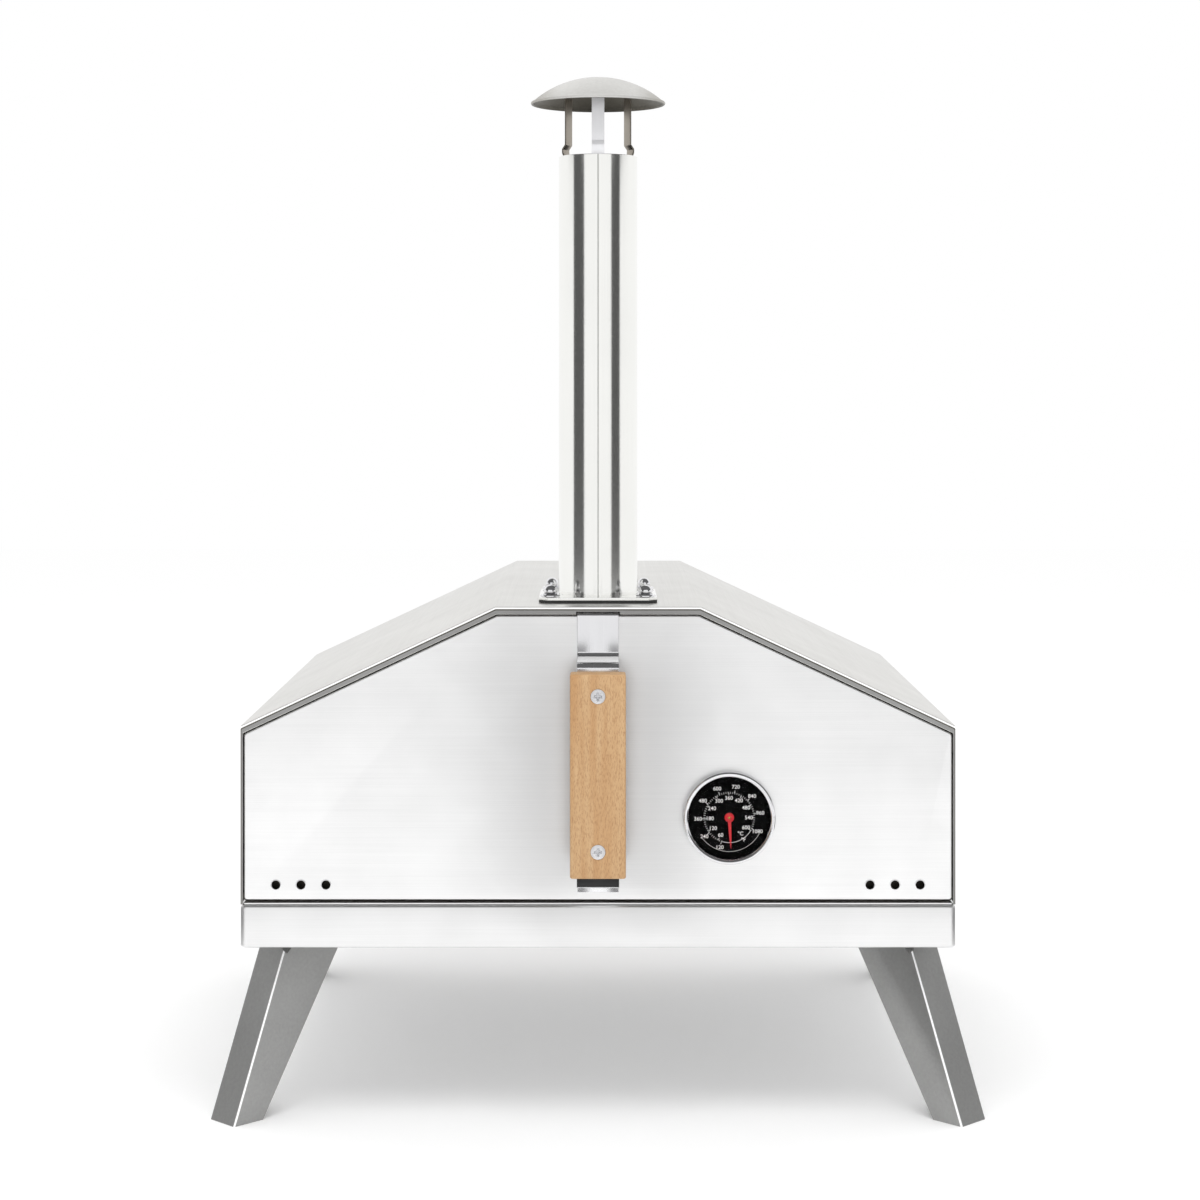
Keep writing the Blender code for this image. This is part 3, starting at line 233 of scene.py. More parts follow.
def make_paints(c):
    """All finishes of the oven, by a short name."""
    PAINTS.update({
        "door": brushed_steel("Brushed_304_door", c.door, 0.34, ALONG_X, 0.03, 0.05),
        "tray": brushed_steel("Brushed_304_tray", c.tray, 0.40, ALONG_X, 0.025, 0.04),
        "roof": brushed_steel("Brushed_304_roof", c.roof, 0.34, ALONG_Y, 0.03, 0.05, 0.75),
        # painted shade: grey of the lip's recessed band
        "lip": brushed_steel("Painted_shade_304_lip", c.lip, 0.30, ALONG_X, 0.06, 0.04),
        # painted shade: the cap's left and right sides are darkened
        "cap": painted_side_shade(brushed_steel("Satin_304_cap", c.cap, 0.40, EVERY_WAY, 0.05, 0.04, 0.30),
                            flue_axis()[0][0], 0.024, 0.046, c.painted_shade),
        # painted light: the front strap is a brighter, less metallic copy of the strap steel
        "lit_front_strap": brushed_steel("Bright_304_strap", c.strap, 0.30, ALONG_Z, 0.03, 0.03, 0.25),
        # painted shade: dark steel standing in for shade under the cap, in the lip's shadow strip and on the
        # bulkhead
        "painted_shade": speckled("Painted_shade_steel", c.shade_dark, 0.42, 1.2, 1.0, 0.1),
        # painted shade: the two rear straps are a darker copy of the strap steel
        "cap_strap": brushed_steel("Shaded_rear_strap", c.cap_strap, 0.30, ALONG_Z, 0.06, 0.04),
        "pipe": brushed_steel("Polished_304_pipe", c.pipe, 0.13, ALONG_Z, 0.02, 0.02),
        "strap": brushed_steel("Polished_304_strap", c.strap, 0.14, ALONG_Z, 0.03, 0.03),
        "rear_strap": brushed_steel("Polished_304_rear_strap", c.strap, 0.14, ALONG_X, 0.03, 0.03),
        "bezel": brushed_steel("Spun_304_bezel", c.strap, 0.12, EVERY_WAY, 0.02, 0.01),
        "leg": brushed_steel("Satin_304_leg", c.leg, 0.45, EVERY_WAY, 0.06, 0.05, 0.6),
        # painted highlight: pure white steel on the leg bends
        "fold": brushed_steel("Painted_highlight_fold", c.fold, 0.30, ALONG_Z, 0.01, 0.01, 0.2),
        # painted highlight: white steel on the door strap's upward faces and the lip hem
        "painted_highlight": brushed_steel("Painted_highlight_steel", c.fold, 0.30, ALONG_X, 0.01, 0.02, 0.3),
        # painted shade: dark steel on the strap's foot below the grip
        "painted_strap_shade": brushed_steel("Painted_shade_strap_foot", c.foot, 0.30, ALONG_X, 0.05, 0.03),
        "screw": speckled("Nickel_plated_screw", c.screw, 0.30, 0.6, 0.55, 0.05),
        "liner": brushed_steel("Mill_430_liner", c.liner, 0.40, ALONG_X, 0.06, 0.06),
        "zinc": speckled("Zinc_plated_steel", c.zinc, 0.28, 0.6, 1.0, 0.05),
        "nut": speckled("Bright_steel_nut", c.strap, 0.12, 0.8, 1.0, 0.03, 0.05),
        "felt": speckled("Ceramic_fibre_felt", c.felt, 0.95, 1.5, 0.0, 0.6),
        "gasket": speckled("Graphite_gasket", c.gasket, 0.85, 0.8),
        "stone": speckled("Cordierite_stone", c.stone, 0.88, 1.2, 0.0, 0.4),
        "dial": speckled("Black_anodised_dial", c.dial, 0.60, 0.4, 0.0, 0.05, gloss=0.0),
        "print": speckled("White_dial_print", c.dial_print, 0.60, 0.4, 0.0, 0.02, 0.03),
        "needle": speckled("Red_needle_enamel", c.needle, 0.38, 0.5, 0.0, 0.02),
        "brass": speckled("Turned_brass_pin", c.brass, 0.25, 0.4, 1.0, 0.02),
        "knob": speckled("Black_bakelite_knob", c.knob, 0.42, 0.8, 0.0, 0.05),
        "wood": beech("Oiled_beech", c.wood_dark, c.wood_light, c.wood_ray),
        "glass": clear_glass("Coated_dial_glass"),
    })


# ---------------------------------------------------------------- surfaces

def grid_faces(rows, columns, around):
    """Quads between neighbouring rows of a grid; around also joins the last column to the first."""
    row, column = np.meshgrid(np.arange(rows - 1), np.arange(columns - (not around)), indexing="ij")
    after = (column + 1) % columns
    near = row * columns
    corners = [near + column, near + after, near + columns + after, near + columns + column]
    return np.stack(corners, -1).reshape(-1, 4)


def surface(grid, around=True, caps="rows", loop=False):
    """Points and faces of a grid of points.

    around joins the last column to the first, and loop joins the last row to the first. caps closes the two
    end rows or the two end columns with one face each.
    """
    if loop:
        grid = np.concatenate([grid, grid[:1]])
    rows, columns = grid.shape[:2]
    faces = grid_faces(rows, columns, around).tolist()
    last = (rows - 1) * columns
    if caps == "rows":
        faces += [list(range(columns)), list(range(last, last + columns))]
    if caps == "columns":
        stop = last if loop else last + columns
        faces += [list(range(0, stop, columns)), list(range(columns - 1, stop, columns))]
    return grid.reshape(-1, 3), faces


def merged(parts):
    """Several (points, faces) pairs as one."""
    points, faces, count = [], [], 0
    for more, shape in parts:
        points.append(more)
        faces += [[corner + count for corner in face] for face in shape]
        count += len(more)
    return np.concatenate(points), faces


def make_mesh(name, shape):
    """Mesh with its doubles merged and its faces pointing out."""
    points, faces = shape
    mesh = bpy.data.meshes.new(name)
    mesh.from_pydata(np.asarray(points).tolist(), [], faces)
    work = bmesh.new()
    work.from_mesh(mesh)
    bmesh.ops.remove_doubles(work, verts=work.verts, dist=MERGE)
    bmesh.ops.recalc_face_normals(work, faces=work.faces)
    work.to_mesh(mesh)
    work.free()
    return mesh


def finish_piece(name, mesh, paint, body, nodes=(), bevel=0.0, crease=32.0, segments=2):
    """Put a finished mesh on the oven: its material, its soft edges and the body that it moves with.

    nodes are the frame's nodes that it stands for. crease is the least angle, in degrees, of a sharp edge.
    """
    mesh.name = name
    mesh.shade_smooth()
    mesh.set_sharp_from_angle(angle=math.radians(crease))
    mesh.materials.clear()
    mesh.materials.append(PAINTS[paint])
    piece = bpy.data.objects.new(name, mesh)
    bpy.context.scene.collection.objects.link(piece)
    if bevel:
        edge = piece.modifiers.new("soft_edges", "BEVEL")
        edge.width = bevel
        edge.segments = segments
        edge.limit_method = "ANGLE"
        edge.angle_limit = math.radians(crease)
        edge.harden_normals = True
    if nodes:
        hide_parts(*nodes)
    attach(piece, body)
    return piece


def shaped(name, shape, paint, body, nodes=(), crease=32.0):
    """Finished piece straight from its (points, faces)."""
    return finish_piece(name, make_mesh(name, shape), paint, body, nodes, crease=crease)


def repaint(piece, paint, chosen):
    """Second finish on the faces picked by a function of all face centres and normals."""
    mesh = piece.data
    centres = np.empty(len(mesh.polygons) * 3)
    normals = np.empty(len(mesh.polygons) * 3)
    mesh.polygons.foreach_get("center", centres)
    mesh.polygons.foreach_get("normal", normals)
    mesh.materials.append(PAINTS[paint])
    index = np.empty(len(mesh.polygons), np.int32)
    mesh.polygons.foreach_get("material_index", index)
    index[chosen(centres.reshape(-1, 3), normals.reshape(-1, 3))] = len(mesh.materials) - 1
    mesh.polygons.foreach_set("material_index", index)
    mesh.update()


def whole_faces(node):
    """Copy of a frame node's mesh with each flat face in one piece."""
    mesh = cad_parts[node].data.copy()
    work = bmesh.new()
    work.from_mesh(mesh)
    bmesh.ops.remove_doubles(work, verts=work.verts, dist=MERGE)
    bmesh.ops.dissolve_limit(work, angle_limit=math.radians(0.5), verts=work.verts, edges=work.edges)
    work.to_mesh(mesh)
    work.free()
    return mesh


def refined(name, node, paint, body, bevel):
    """The frame node's own shape with its edges softened."""
    return finish_piece(name, whole_faces(node), paint, body, (node,), bevel)


def cut(mesh, cutters):
    """The mesh with each cutter's (points, faces) taken out of it."""
    host = bpy.data.objects.new("host", mesh)
    bpy.context.scene.collection.objects.link(host)
    tools = []
    for number, shape in enumerate(cutters):
        tool = bpy.data.objects.new("tool_%d" % number, make_mesh("tool", shape))
        bpy.context.scene.collection.objects.link(tool)
        change = host.modifiers.new("cut", "BOOLEAN")
        change.operation = "DIFFERENCE"
        change.solver = "EXACT"
        change.object = tool
        tools.append(tool)
    bpy.context.view_layer.update()
    result = bpy.data.meshes.new_from_object(host.evaluated_get(bpy.context.evaluated_depsgraph_get()))
    for item in [host] + tools:
        bpy.data.objects.remove(item)
    return result


def spun(profile, centre, axis="Z", sides=64, wobble=None):
    """Surface of revolution: each (radius, height) of the profile swept round an axis through the centre.

    wobble takes the angles and the profile rows and gives a factor on the radius.
    """
    profile = np.asarray(profile, float)
    angle = np.linspace(0.0, 2 * np.pi, sides, endpoint=False)
    radius = np.repeat(profile[:, :1], sides, 1)
    if wobble is not None:
        radius = radius * wobble(angle[None, :], profile[:, 1:2])
    first = radius * np.cos(angle)
    second = radius * np.sin(angle)
    height = np.repeat(profile[:, 1:2], sides, 1)
    ways = {"Z": (first, second, height), "-Y": (first, -height, second), "Y": (-first, height, second)}
    return np.stack(ways[axis], -1) + np.asarray(centre, float)


def arc(centre, radius, start, stop, steps):
    """Points of a circular arc, angles in degrees."""
    angle = np.radians(np.linspace(start, stop, steps))
    return np.stack([centre[0] + radius * np.cos(angle), centre[1] + radius * np.sin(angle)], -1)


def filleted(points, radius, steps=5, closed=False):
    """Path whose corners are arcs: each arc touches both sides of its corner."""
    points = [np.asarray(point, float) for point in points]
    count = len(points)
    path = [] if closed else [points[0][None]]
    for index in range(0 if closed else 1, count if closed else count - 1):
        corner = points[index]
        back = points[index - 1] - corner
        ahead = points[(index + 1) % count] - corner
        back, ahead = back / np.linalg.norm(back), ahead / np.linalg.norm(ahead)
        half = math.acos(np.clip(back @ ahead, -1.0, 1.0)) / 2
        middle = (back + ahead) / np.linalg.norm(back + ahead)
        sweep = np.linspace(-1.0, 1.0, steps) * (math.pi / 2 - half)
        across = (ahead - back) / np.linalg.norm(ahead - back)
        centre = corner + middle * radius / math.sin(half)
        path.append(centre + radius * (-middle * np.cos(sweep)[:, None] + across * np.sin(sweep)[:, None]))
    if not closed:
        path.append(points[-1][None])
    return np.concatenate(path)


def house(side, roof, low):
    """Corners of the body's front outline with its walls and roof moved inwards."""
    half = HALF_W - side
    flat = HALF_FLAT - roof * math.tan(SLOPE / 2)
    shoulder = SHOULDER_Z - roof / math.cos(SLOPE) + side * math.tan(SLOPE)
    top = ROOF_Z - roof
    return [(-half, low), (-half, shoulder), (-flat, top), (flat, top), (half, shoulder), (half, low)]


def at_depth(outline, depth):
    """A flat (across, up) outline stood up at a depth."""
    return np.stack([outline[:, 0], np.full(len(outline), depth), outline[:, 1]], -1)


def rounded_box(size, radius):
    """Outline of a rectangle with round corners, as (across, up) from its middle."""
    half = np.asarray(size) / 2
    corners = [(-half[0], -half[1]), (half[0], -half[1]), (half[0], half[1]), (-half[0], half[1])]
    return filleted(corners, radius, 6, closed=True)


def lip_strip(name, outer, inner):
    """Thin strip of the lip between two outlines, each given by its insets from the sides and the roof."""
    low = BODY_LOW[2] + 0.0002
    front, back = FRONT_Y - 0.0003, FRONT_Y + 0.0003
    rows = [at_depth(filleted(house(side, roof, low), 0.0010, 5), depth)
            for (side, roof), depth in ((outer, front), (inner, front), (inner, back), (outer, back))]
    return make_mesh(name, surface(np.stack(rows), around=False, caps="columns", loop=True))


def body_shell(sizes):
    """Folded roof and walls.

    Rows run round the sheet's section, from the rear edge over the front lip and back inside. Each is given
    by its insets from the walls and the roof and by its depth. Columns follow the folds.
    """
    low = BODY_LOW[2]
    rear = REAR_Y - 0.0002
    groove, inside = FRONT_Y + 0.0012, FRONT_Y + 0.0016
    section = [(0.0, 0.0, rear), (0.0, 0.0, groove), (0.0003, 0.0003, FRONT_Y + 0.0004),
               (0.0008, 0.0011, FRONT_Y), (0.0010, 0.0016, FRONT_Y + 0.0001), (0.0011, 0.0018, groove),
               (0.0012, 0.0023, groove), (0.0013, 0.0025, FRONT_Y + 0.0003),
               (0.0018, LIP_ROOF - 0.0004, FRONT_Y + 0.0003), (LIP_SIDE, LIP_ROOF, FRONT_Y + 0.0007),
               (LIP_SIDE, LIP_ROOF, inside), (SHEET, SHEET + 0.0016, inside), (SHEET, SHEET, rear)]
    rows = [at_depth(filleted(house(side, roof, low), sizes.fold - min(roof, 0.0012), 6), depth)
            for side, roof, depth in section]
    mesh = make_mesh("body_shell", surface(np.stack(rows), around=False, caps="columns", loop=True))
    centre, _ = flue_axis()
    hole_r, past = 0.029, 0.01
    hole = surface(spun([(hole_r, ROOF_Z + past), (hole_r, ROOF_Z - past)], (*centre, 0.0), sides=96))
    strap_low, strap_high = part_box("handle_strap")
    half = (strap_high[0] - strap_low[0]) / 2 + 0.0008
    notch = block((-half, FRONT_Y - 0.002, ROOF_Z - LIP_ROOF - 0.001),
                  (half, FRONT_Y + 0.003, strap_high[2] + 0.001))
    mesh = cut(mesh, [hole, notch])
    finish_piece("body_shell", mesh, "roof", "oven", ("outer_shell",), crease=40.0)
    edges = (0.0002, 0.0006), (0.0005, 0.0017), (0.0011, 0.0026), (LIP_SIDE - 0.0002, LIP_ROOF - 0.0004)
    # lip_hem wears a painted highlight, lip_shadow and lip_band wear painted shade
    strips = ("lip_hem", "painted_highlight"), ("lip_shadow", "painted_shade"), ("lip_band", "lip")
    for (name, paint), outer, inner in zip(strips, edges, edges[1:]):
        mesh = cut(lip_strip(name, outer, inner), [notch])
        finish_piece(name, mesh, paint, "oven", (), crease=40.0)


def block(low, high):
    """Plain cutter between two corners."""
    low, high = np.asarray(low, float), np.asarray(high, float)
    rows = [[(low[0], low[1], z), (high[0], low[1], z), (high[0], high[1], z), (low[0], high[1], z)]
            for z in (low[2], high[2])]
    return surface(np.array(rows))


def tray(sizes):
    """Inverted pan: an inset and a level for each row round the rounded rectangle."""
    low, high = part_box("base_tray")
    width, depth = high[0] - low[0], high[1] - low[1]
    top, bottom = high[2], low[2]
    edge, hem, hem_w = sizes.tray_edge, 0.0016, 0.0050
    outer = arc((edge, top - edge), edge, 90, 180, 6)
    curl = arc((hem, bottom + hem), hem, 180, 270, 5)
    inner = [(hem_w, bottom), (hem_w, bottom + SHEET), (hem, bottom + SHEET), (SHEET, bottom + hem),
             (SHEET, top - edge), (edge, top - SHEET)]
    rows = []
    for inset, level in np.concatenate([outer, curl, inner]):
        ring = rounded_box((width - 2 * inset, depth - 2 * inset), max(sizes.tray_corner - inset, 0.0008))
        rows.append(np.column_stack([ring, np.full(len(ring), level)]))
    shaped("tray", surface(np.stack(rows)), "tray", "oven", ("base_tray",))


def vent_places():
    """Centre and radius of the three vents at each end of the door, measured from the door's lower edge."""
    door_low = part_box("door_panel")[0][2]
    rise, pitch, edge, radius = 0.0105, 0.0175, 0.0250, 0.0031
    return [(side * (HALF_W - edge - index * pitch), door_low + rise, radius)
            for side in (-1, 1) for index in range(3)]


def door(sizes):
    """Shallow pan with softly rounded edges; rows go from its inner face over the rim to its front face."""
    low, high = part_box("door_panel")
    face, back = low[1], high[1]
    side, roof = HALF_W - high[0], ROOF_Z - high[2]
    edge, corner = sizes.door_edge, 0.0020
    section = [(SHEET + 0.0010, face + SHEET), (SHEET, face + SHEET + 0.0010), (SHEET, back - 0.0002),
               (0.0004, back), (0.0001, back - 0.0004)]
    section += [(inset, depth) for inset, depth in arc((edge, face + edge), edge, 180, 270, 6)]
    outlines = [house(side + inset, roof + inset, low[2] + inset) for inset, _ in section]
    rows = [at_depth(filleted(outline, corner, 5, closed=True), depth)
            for outline, (_, depth) in zip(outlines, section)]
    mesh = make_mesh("door_skin", surface(np.stack(rows)))
    past, stem_hole = 0.004, 0.0052
    holes = [surface(spun([(radius, past), (radius, -past)], (across, face, up), "-Y", 40))
             for across, up, radius in vent_places()]
    holes.append(surface(spun([(stem_hole, past), (stem_hole, -past)], thermo_centre(), "-Y", 40)))
    finish_piece("door_skin", cut(mesh, holes), "door", "door", ("door_panel",), crease=40.0)
    lip = arc((0.0, 0.0), 0.00028, 0, 180, 6)
    rims = []
    for across, up, radius in vent_places():
        profile = [(radius + 0.0003 + x, y) for x, y in lip] + [(radius, -0.0004), (radius + 0.0006, -0.0004)]
        rims.append(surface(spun(profile, (across, face, up), "-Y", 40), caps=None, loop=True))
    shaped("vent_rims", merged(rims), "bezel", "door", ())


def flue_axis():
    """Centre of the flue, as (across, depth), and its radius."""
    low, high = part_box("flue_pipe")
    centre = (low + high) / 2
    return (centre[0], centre[1]), (high[0] - low[0]) / 2


def flue():
    """Rolled pipe with its seam facing the door: the radius dips in a narrow bell where the edges meet."""
    low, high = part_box("flue_pipe")
    centre, radius = flue_axis()
    turn = np.linspace(-1.0, 1.0, 181)[:-1]
    angle = -np.pi / 2 + np.pi * (0.15 * turn + 0.85 * turn ** 3)
    seam_depth, seam_w = 0.010, 0.008
    dip = 1.0 - seam_depth * np.exp(-((angle + np.pi / 2) / seam_w) ** 2)
    brim = high[2] - 0.0003
    section = np.array([(radius, brim), (radius, low[2]), (radius - SHEET, low[2]), (radius - SHEET, brim),
                        (radius - SHEET / 2, high[2])])
    reach = section[:, :1] * dip
    grid = np.stack([reach * np.cos(angle) + centre[0], reach * np.sin(angle) + centre[1],
                     np.repeat(section[:, 1:], len(angle), 1)], -1)
    tube = surface(grid, caps=None, loop=True)
    shaped("flue_tube", tube, "pipe", "oven", ("flue_pipe",), 50.0)
    refined("flue_collar", "flue_flange", "pipe", "oven", 0.0005)


def dome_nuts():
    """Cap nut with a pressed washer: the radius turns from a hexagon at the base to a circle at the dome."""
    for node in [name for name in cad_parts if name.startswith("dome_nut_")]:
        low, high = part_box(node)
        centre = (low + high) / 2
        foot = low[2]
        washer, flat, ball = (high[0] - low[0]) / 2 + 0.0011, 0.0049, 0.0045
        top = min(high[2], foot + 0.0124)
        waist = top - ball * 1.55
        dome = arc((0.0, top - ball), ball, 90, -32, 14)
        base = [(flat - 0.0006, waist), (flat, waist - 0.0004), (flat, foot + 0.0018),
                (0.0053, foot + 0.0014), (washer - 0.0004, foot + 0.0014), (washer, foot + 0.0009),
                (washer, foot + 0.0003), (washer - 0.0003, foot), (0.0, foot)]

        def hexagon(angle, height):
            spread = np.cos(np.pi / 6) / np.cos((angle + np.pi / 6) % (np.pi / 3) - np.pi / 6)
            inside = (height < waist - 0.0002) & (height > foot + 0.0016)
            return np.where(inside, spread * 1.06, 1.0)

        section = np.concatenate([dome, base])
        grid = spun(section, (centre[0], centre[1], 0.0), sides=48, wobble=hexagon)
        name = node.replace("dome_nut", "cap_nut")
        shaped(name, surface(grid, caps=None), "nut", "oven", (node,))


def strip(path, width, thickness):
    """Flat bar bent along a path in the (depth, height) plane; each point carries a rounded rectangle."""
    path = np.asarray(path)
    along = np.gradient(path, axis=0)
    along /= np.linalg.norm(along, axis=1)[:, None]
    across = np.stack([-along[:, 1], along[:, 0]], -1)
    edge_r = 0.0003
    ring = rounded_box((width, thickness), edge_r)
    depth_height = path[:, None] + ring[None, :, 1:] * across[:, None]
    wide = np.repeat(ring[None, :, 0], len(path), 0)
    return np.concatenate([wide[..., None], depth_height], -1)


def rain_cap():
    """Spun dome with a rolled rim, over three springy straps."""
    low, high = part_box("rain_cap")
    centre, _ = flue_axis()
    radius, rim, top = (high[0] - low[0]) / 2, low[2], high[2]
    rise = top - rim - SHEET
    ball = (radius ** 2 + rise ** 2) / (2 * rise)
    sweep = np.linspace(0.0, math.asin((radius - 0.0012) / ball), 28)
    dome = np.stack([ball * np.sin(sweep), top - ball + ball * np.cos(sweep)], -1)
    roll = arc((radius - 0.0011, rim + 0.0012), 0.0011, 60, -180, 9)
    inside = np.stack([ball * np.sin(sweep[::-1]), top - SHEET - ball + ball * np.cos(sweep[::-1])], -1)
    inside = inside[inside[:, 0] < radius - 0.0024]
    grid = spun(np.concatenate([dome, roll, inside]), (*centre, 0.0), sides=128)
    shell = shaped("cap_dome", surface(grid, caps=None), "cap", "cap", ("rain_cap",), 60.0)

    def underside(place, facing):
        away = np.hypot(place[:, 0] - centre[0], place[:, 1] - centre[1])
        return (facing[:, 2] < -0.2) & (away < radius - 0.0005)

    # painted shade on the downward faces under the cap
    repaint(shell, "painted_shade", underside)
    flue_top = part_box("flue_pipe")[1][2]
    for node, turn in (("cap_strap_front", 0), ("cap_strap_rear_right", 120), ("cap_strap_rear_left", 240)):
        low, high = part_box(node)
        foot, head = low[2], high[2]
        wall, upper = 0.02622, 0.02492
        corners = [(-upper, head), (-upper, flue_top + 0.0098), (-wall - 0.0012, flue_top + 0.0066),
                   (-wall - 0.0011, flue_top + 0.0040), (-wall, flue_top + 0.0012), (-wall, foot)]
        bar = strip(filleted(corners, 0.0012, 6), 0.009, 0.0012)
        spot = Matrix.Translation((centre[0], centre[1], 0.0)) @ Matrix.Rotation(math.radians(turn), 4, "Z")
        turned = bar @ np.array(spot.to_3x3()).T + np.array(spot.translation)
        name = node.replace("cap_strap", "spring_strap")
        # one strap in a lit copy at the front and a shaded copy at the rear: painted light and shade
        look = "cap_strap" if turn else "lit_front_strap"
        shaped(name, surface(turned), look, "cap", (node,))


def handle_strap(sizes):
    """Front strap: hooked over the door's top, out round the grip and back to the door below it."""
    low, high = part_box("handle_strap")
    grip_low, grip_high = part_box("handle_grip")
    thick = STRAP_THICK
    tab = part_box("door_panel")[0][1] - GAP - thick / 2
    out = grip_high[1] + GAP + thick / 2
    over = high[2] - thick / 2
    top = grip_high[2] + 0.0056 - thick / 2
    bottom = grip_low[2] - STRAP_PAST_GRIP + thick / 2
    bend = [(tab, over), (tab, top + 0.0022), (out, top), (out, bottom), (tab, bottom), (tab, low[2])]
    hook_r = 0.0012
    path = np.concatenate([[(high[1], over)], arc((tab + hook_r, over - hook_r), hook_r, 90, 180, 5),
                           filleted(bend, sizes.strap_bend, 10)[1:]])
    longest = np.linalg.norm(np.diff(path, axis=0), axis=1).argmax()
    path = np.insert(path, longest + 1, (out, grip_low[2] + 0.0010), axis=0)
    bar = strip(path, high[0] - low[0], thick)
    piece = shaped("door_strap", surface(bar), "strap", "door", ("handle_strap",))

    # painted shade: picks the strap's front faces below the grip
    def foot(place, facing):
        upright = (facing[:, 1] < 0.1) & (np.abs(facing[:, 2]) < 0.8)
        return upright & (place[:, 1] < out + 0.002) & (place[:, 2] < grip_low[2] + 0.001)

    # painted highlight on the strap's upward faces
    repaint(piece, "painted_highlight", lambda place, facing: facing[:, 2] > 0.992)
    repaint(piece, "painted_strap_shade", foot)


def drawer_strap(sizes):
    """Rear strap, flat against the drawer's face at both ends."""
    low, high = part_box("drawer_strap")
    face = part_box("fuel_drawer")[1][1]
    grip_low, grip_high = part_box("drawer_grip")
    thick = STRAP_THICK
    tab = face + GAP + thick / 2
    out = grip_low[1] - GAP - thick / 2
    end = grip_high[0] + STRAP_PAST_GRIP - thick / 2
    bend = [(tab, high[0]), (tab, end), (out, end), (out, -end), (tab, -end), (tab, low[0])]
    bar = strip(filleted(bend, sizes.strap_bend, 10), high[2] - low[2], thick)
    middle = (low[2] + high[2]) / 2
    bar = np.stack([bar[..., 2], bar[..., 1], bar[..., 0] + middle], -1)
    shaped("rear_strap", surface(bar), "rear_strap", "drawer", ("drawer_strap",))


def grip(name, prefix, screws, body, front, lengthways, sizes):
    """Beech block with its two screws.

    A rounded rectangle is carried along the grip and drawn in at both ends, and two countersinks are cut.
    front is -1 for a grip that faces -Y and 1 for one that faces +Y.
    """
    low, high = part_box(prefix + "_grip")
    size, centre = high - low, (high + low) / 2
    across = 2 - lengthways
    end_r = 0.0012
    turn = np.linspace(0, np.pi / 2, 5)
    inset = end_r * (1 - np.sin(turn))
    reach = size[lengthways] / 2 - end_r * (1 - np.cos(turn))
    grid = []
    for place, inward in zip(np.concatenate([-reach, reach[::-1]]), np.concatenate([inset, inset[::-1]])):
        ring = rounded_box((size[across] - 2 * inward, size[1] - 2 * inward),
                           sizes.grip_rounding - inward / 2)
        row = np.zeros((len(ring), 3))
        row[:, across], row[:, 1], row[:, lengthways] = ring[:, 0], ring[:, 1], place
        grid.append(row + centre)
    mesh = make_mesh(name, surface(np.stack(grid)))
    facing, face = ("Y", high[1]) if front > 0 else ("-Y", low[1])
    bore, deep, past = 0.0025, -0.030, 0.002
    sink = [(0.0, past), (SCREW_HEAD_R + 0.0007, past), (SCREW_HEAD_R + 0.0005, -0.0004), (bore, -0.0030),
            (bore, deep), (0.0, deep)]
    cones = []
    for screw in screws:
        screw_low, screw_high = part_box(prefix + "_screw_" + screw)
        spot = (screw_low + screw_high) / 2
        cones.append(surface(spun(sink, (spot[0], face, spot[2]), facing, 48), caps=None))
        cross_screw(prefix + "_cross_screw_" + screw, prefix + "_screw_" + screw, body, front)
    mesh = cut(mesh, cones)
    points = np.empty(len(mesh.vertices) * 3)
    mesh.vertices.foreach_get("co", points)
    points = points.reshape(-1, 3) - centre
    grain = points if lengthways == 2 else points[:, [2, 1, 0]]
    layer = mesh.attributes.new("grain", "FLOAT_VECTOR", "POINT")
    layer.data.foreach_set("vector", grain.astype(np.float32).ravel())
    finish_piece(name, mesh, "wood", body, (prefix + "_grip",), crease=30.0)


def cross_screw(name, node, body, front):
    """Countersunk screw: a polar grid whose height dips along two crossed slots."""
    low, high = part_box(node)
    spot = (low + high) / 2
    face = high[1] if front > 0 else low[1]
    radius = (high[0] - low[0]) / 2
    length = high[1] - low[1]
    sides, slot, sunk = 120, 0.00075, 0.0017
    ring = np.linspace(0.0, 1.0, 26)[1:] ** 0.8
    angle = np.linspace(0.0, 2 * np.pi, sides, endpoint=False)
    first = ring[:, None] * np.cos(angle) * radius
    second = ring[:, None] * np.sin(angle) * radius

    def groove(side, lengthways):
        flat = 1 / (1 + np.exp((np.abs(side) - slot) / 0.00010))
        end = 1 / (1 + np.exp((np.abs(lengthways) - 0.0026) / 0.00018))
        return flat * end

    depth = np.maximum(groove(first, second), groove(second, first))
    taper = np.clip(1.2 - ring[:, None] * 0.9, 0.2, 1.0)
    height = 0.00025 * (1 - ring[:, None] ** 2) - sunk * depth * taper
    head = np.stack([first, second, height], -1)
    shank = 0.0020
    side = [(radius, -0.0002), (shank, -0.0030), (shank, -length), (0.0, -length)]
    down = spun(side, (0, 0, 0), sides=sides)
    centre_row = np.zeros((1, sides, 3))
    centre_row[..., 2] = -sunk
    grid = np.concatenate([centre_row, head, down])
    depth = face - front * 0.0003 + front * grid[..., 2]
    world = np.stack([grid[..., 0] + spot[0], depth, grid[..., 1] + spot[2]], -1)
    shaped(name, surface(world, caps=None), "screw", body, (node,), 40.0)


def thermo_centre():
    """Middle of the dial on the door's face."""
    low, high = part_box("thermo_bezel")
    centre = (low + high) / 2
    return (centre[0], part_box("door_panel")[0][1], centre[2])


